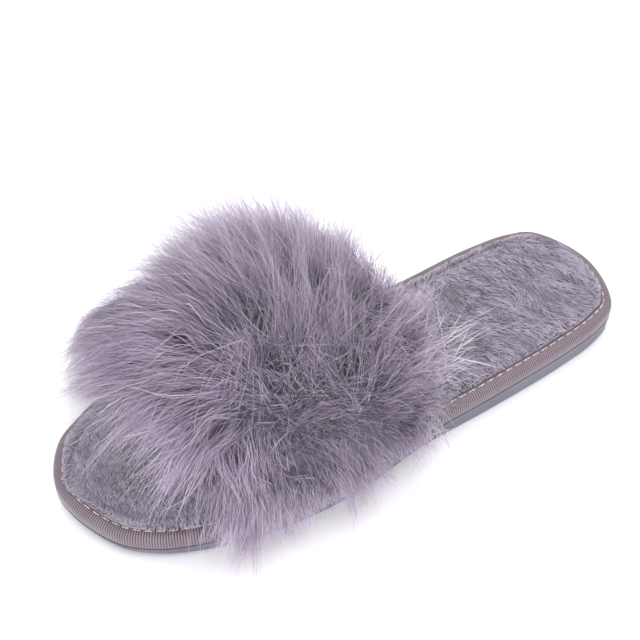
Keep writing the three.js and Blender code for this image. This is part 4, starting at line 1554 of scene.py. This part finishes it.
        # the backing's dark colours are partly painted shade of the deep fur
        felt = BrushedPile("Fur backing, felted", tuft="#6a6078", between="#433c50", tuft_mm=1.6).material()
        soft = Coat(
            "fur_down", 14800, 2, 0.3, (0.45, 1.5), 0.16, 0.6, 0.25, 0.42, 1.4,
            bow=4.0, thinning=1.9, parts=3,
        )
        long = Coat("fur_locks", 12200, 3, 0.15, (0.68, 1.12), 0.21, 0.72, 0.25, 0.3, 1.6, bow=4.0)
        fly = Coat("fur_guard_hairs", 2800, 4, 0.35, (0.95, 1.45), 0.14, 0.35, 0.0, 0.6, 2.6)
        stiff = Coat("fur_pale_hairs", 620, 5, 0.45, (0.95, 1.25), 0.28, 0.4, 0.0, 0.75, 4.0)
        fan = Coat(
            "fur_fan_hairs", 210, 5, 0.4, (1.2, 2.0), 0.3, 0.35, 0.0, 0.3, 2.6,
            tufts=60, lean=(-1.3, 1.1), between=(0.07, 0.26), along=(-0.03, 0.1),
        )
        backing = finish_mesh("fur_backing", self.backing(), felt)
        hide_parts("strap_fur")
        pieces = [backing]
        for coat, finish in ((soft, down), (long, lock), (fly, guard), (stiff, guard), (fan, guard)):
            numbers = [f"_{part + 1}" for part in range(coat.parts)] if coat.parts > 1 else [""]
            for number in numbers:
                mesh = self.grow(coat, coat.name + number)
                pieces.append(finish_mesh(mesh.name, mesh, finish))
        return pieces


# Studio

@dataclass(frozen=True)
class Lamp:
    """A square soft light: its place and size in metres, and its power in watts."""

    name: str
    place: tuple[float, float, float]
    size: float
    power: float


@dataclass
class Studio:
    """The pale floor, the soft lights and the camera at the photo's angle, aimed in millimetres."""

    aim: tuple[float, float, float] = (-42.75, 11.93, 0.0)
    azimuth: float = 58.0
    elevation: float = 46.0
    distance: float = 562.87
    lens: float = 70.0
    sensor: float = 36.0
    floor_half: float = 4.0
    lamps: tuple[Lamp, ...] = (
        Lamp("key", (-0.28, 0.18, 1.25), 1.8, 17), Lamp("front", (0.9, -0.7, 0.55), 1.2, 10),
    )
    lit_at: tuple[float, float, float] = (0, 0, 0.03)
    surround: str = "#fbfaff"
    surround_strength: float = 0.8

    def camera(self) -> None:
        """Sets the camera."""
        turn, tilt = math.radians(self.azimuth), math.radians(self.elevation)
        back = Vector((math.sin(turn) * math.cos(tilt), -math.cos(turn) * math.cos(tilt), math.sin(tilt)))
        data = bpy.data.cameras.new("camera")
        data.lens, data.sensor_width, data.clip_start = self.lens, self.sensor, 0.01
        camera = bpy.data.objects.new("camera", data)
        bpy.context.scene.collection.objects.link(camera)
        camera.location = (Vector(self.aim) + back * self.distance) * MM
        camera.rotation_euler = back.to_track_quat("Z", "Y").to_euler()
        bpy.context.scene.camera = camera

    def floor(self) -> None:
        """Lays the paper floor."""
        form = bmesh.new()
        bmesh.ops.create_grid(form, x_segments=4, y_segments=4, size=self.floor_half)
        mesh = bpy.data.meshes.new("floor")
        form.to_mesh(mesh)
        form.free()
        mesh.materials.append(PaleSweep().material())
        floor = bpy.data.objects.new("floor", mesh)
        bpy.context.scene.collection.objects.link(floor)

    def light(self, lamp: Lamp) -> None:
        """Hangs a lamp so that it faces the slipper."""
        data = bpy.data.lights.new(lamp.name, "AREA")
        data.shape, data.size, data.energy = "SQUARE", lamp.size, lamp.power
        light = bpy.data.objects.new(lamp.name, data)
        bpy.context.scene.collection.objects.link(light)
        light.location = lamp.place
        light.rotation_euler = (Vector(lamp.place) - Vector(self.lit_at)).to_track_quat("Z", "Y").to_euler()

    def build(self) -> None:
        """Sets camera, floor, lights and a white surround."""
        self.camera()
        self.floor()
        for lamp in self.lamps:
            self.light(lamp)
        world = bpy.data.worlds.new("surround")
        world.use_nodes = True
        light = {"Color": self.surround, "Strength": self.surround_strength}
        fill(world.node_tree, world.node_tree.nodes["Background"], light)
        bpy.context.scene.world = world
        bpy.context.scene.view_settings.view_transform = "Standard"


def dress_core() -> None:
    """Gives the hidden foam core of the footbed its own finish."""
    finish = KnitLining(name="Foam board, cut", face="#b9b3a8", groove="#a19a8e", wale_mm=3.77).material()
    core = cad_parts["insole"]
    core.data.materials.clear()
    core.data.materials.append(finish)


def main() -> None:
    """Builds the slipper's pieces in order and reports each."""
    logging.basicConfig(level=logging.INFO, format="%(name)s: %(message)s")
    last = Last()
    Studio().build()
    binding = Binding(last)
    pieces = [Outsole(last).build(), binding.build(), binding.stitches(np.random.default_rng(SEED))]
    pieces += Footbed(last).build(np.random.default_rng(SEED + 2))
    pieces.append(Strap(last).build())
    pieces += Fur(last, np.random.default_rng(SEED + 3)).build()
    dress_core()
    for piece in pieces:
        triangles = sum(len(polygon.vertices) - 2 for polygon in piece.data.polygons)
        log.info("%s: %d triangles", piece.name, triangles)


if __name__ == "__main__":
    main()
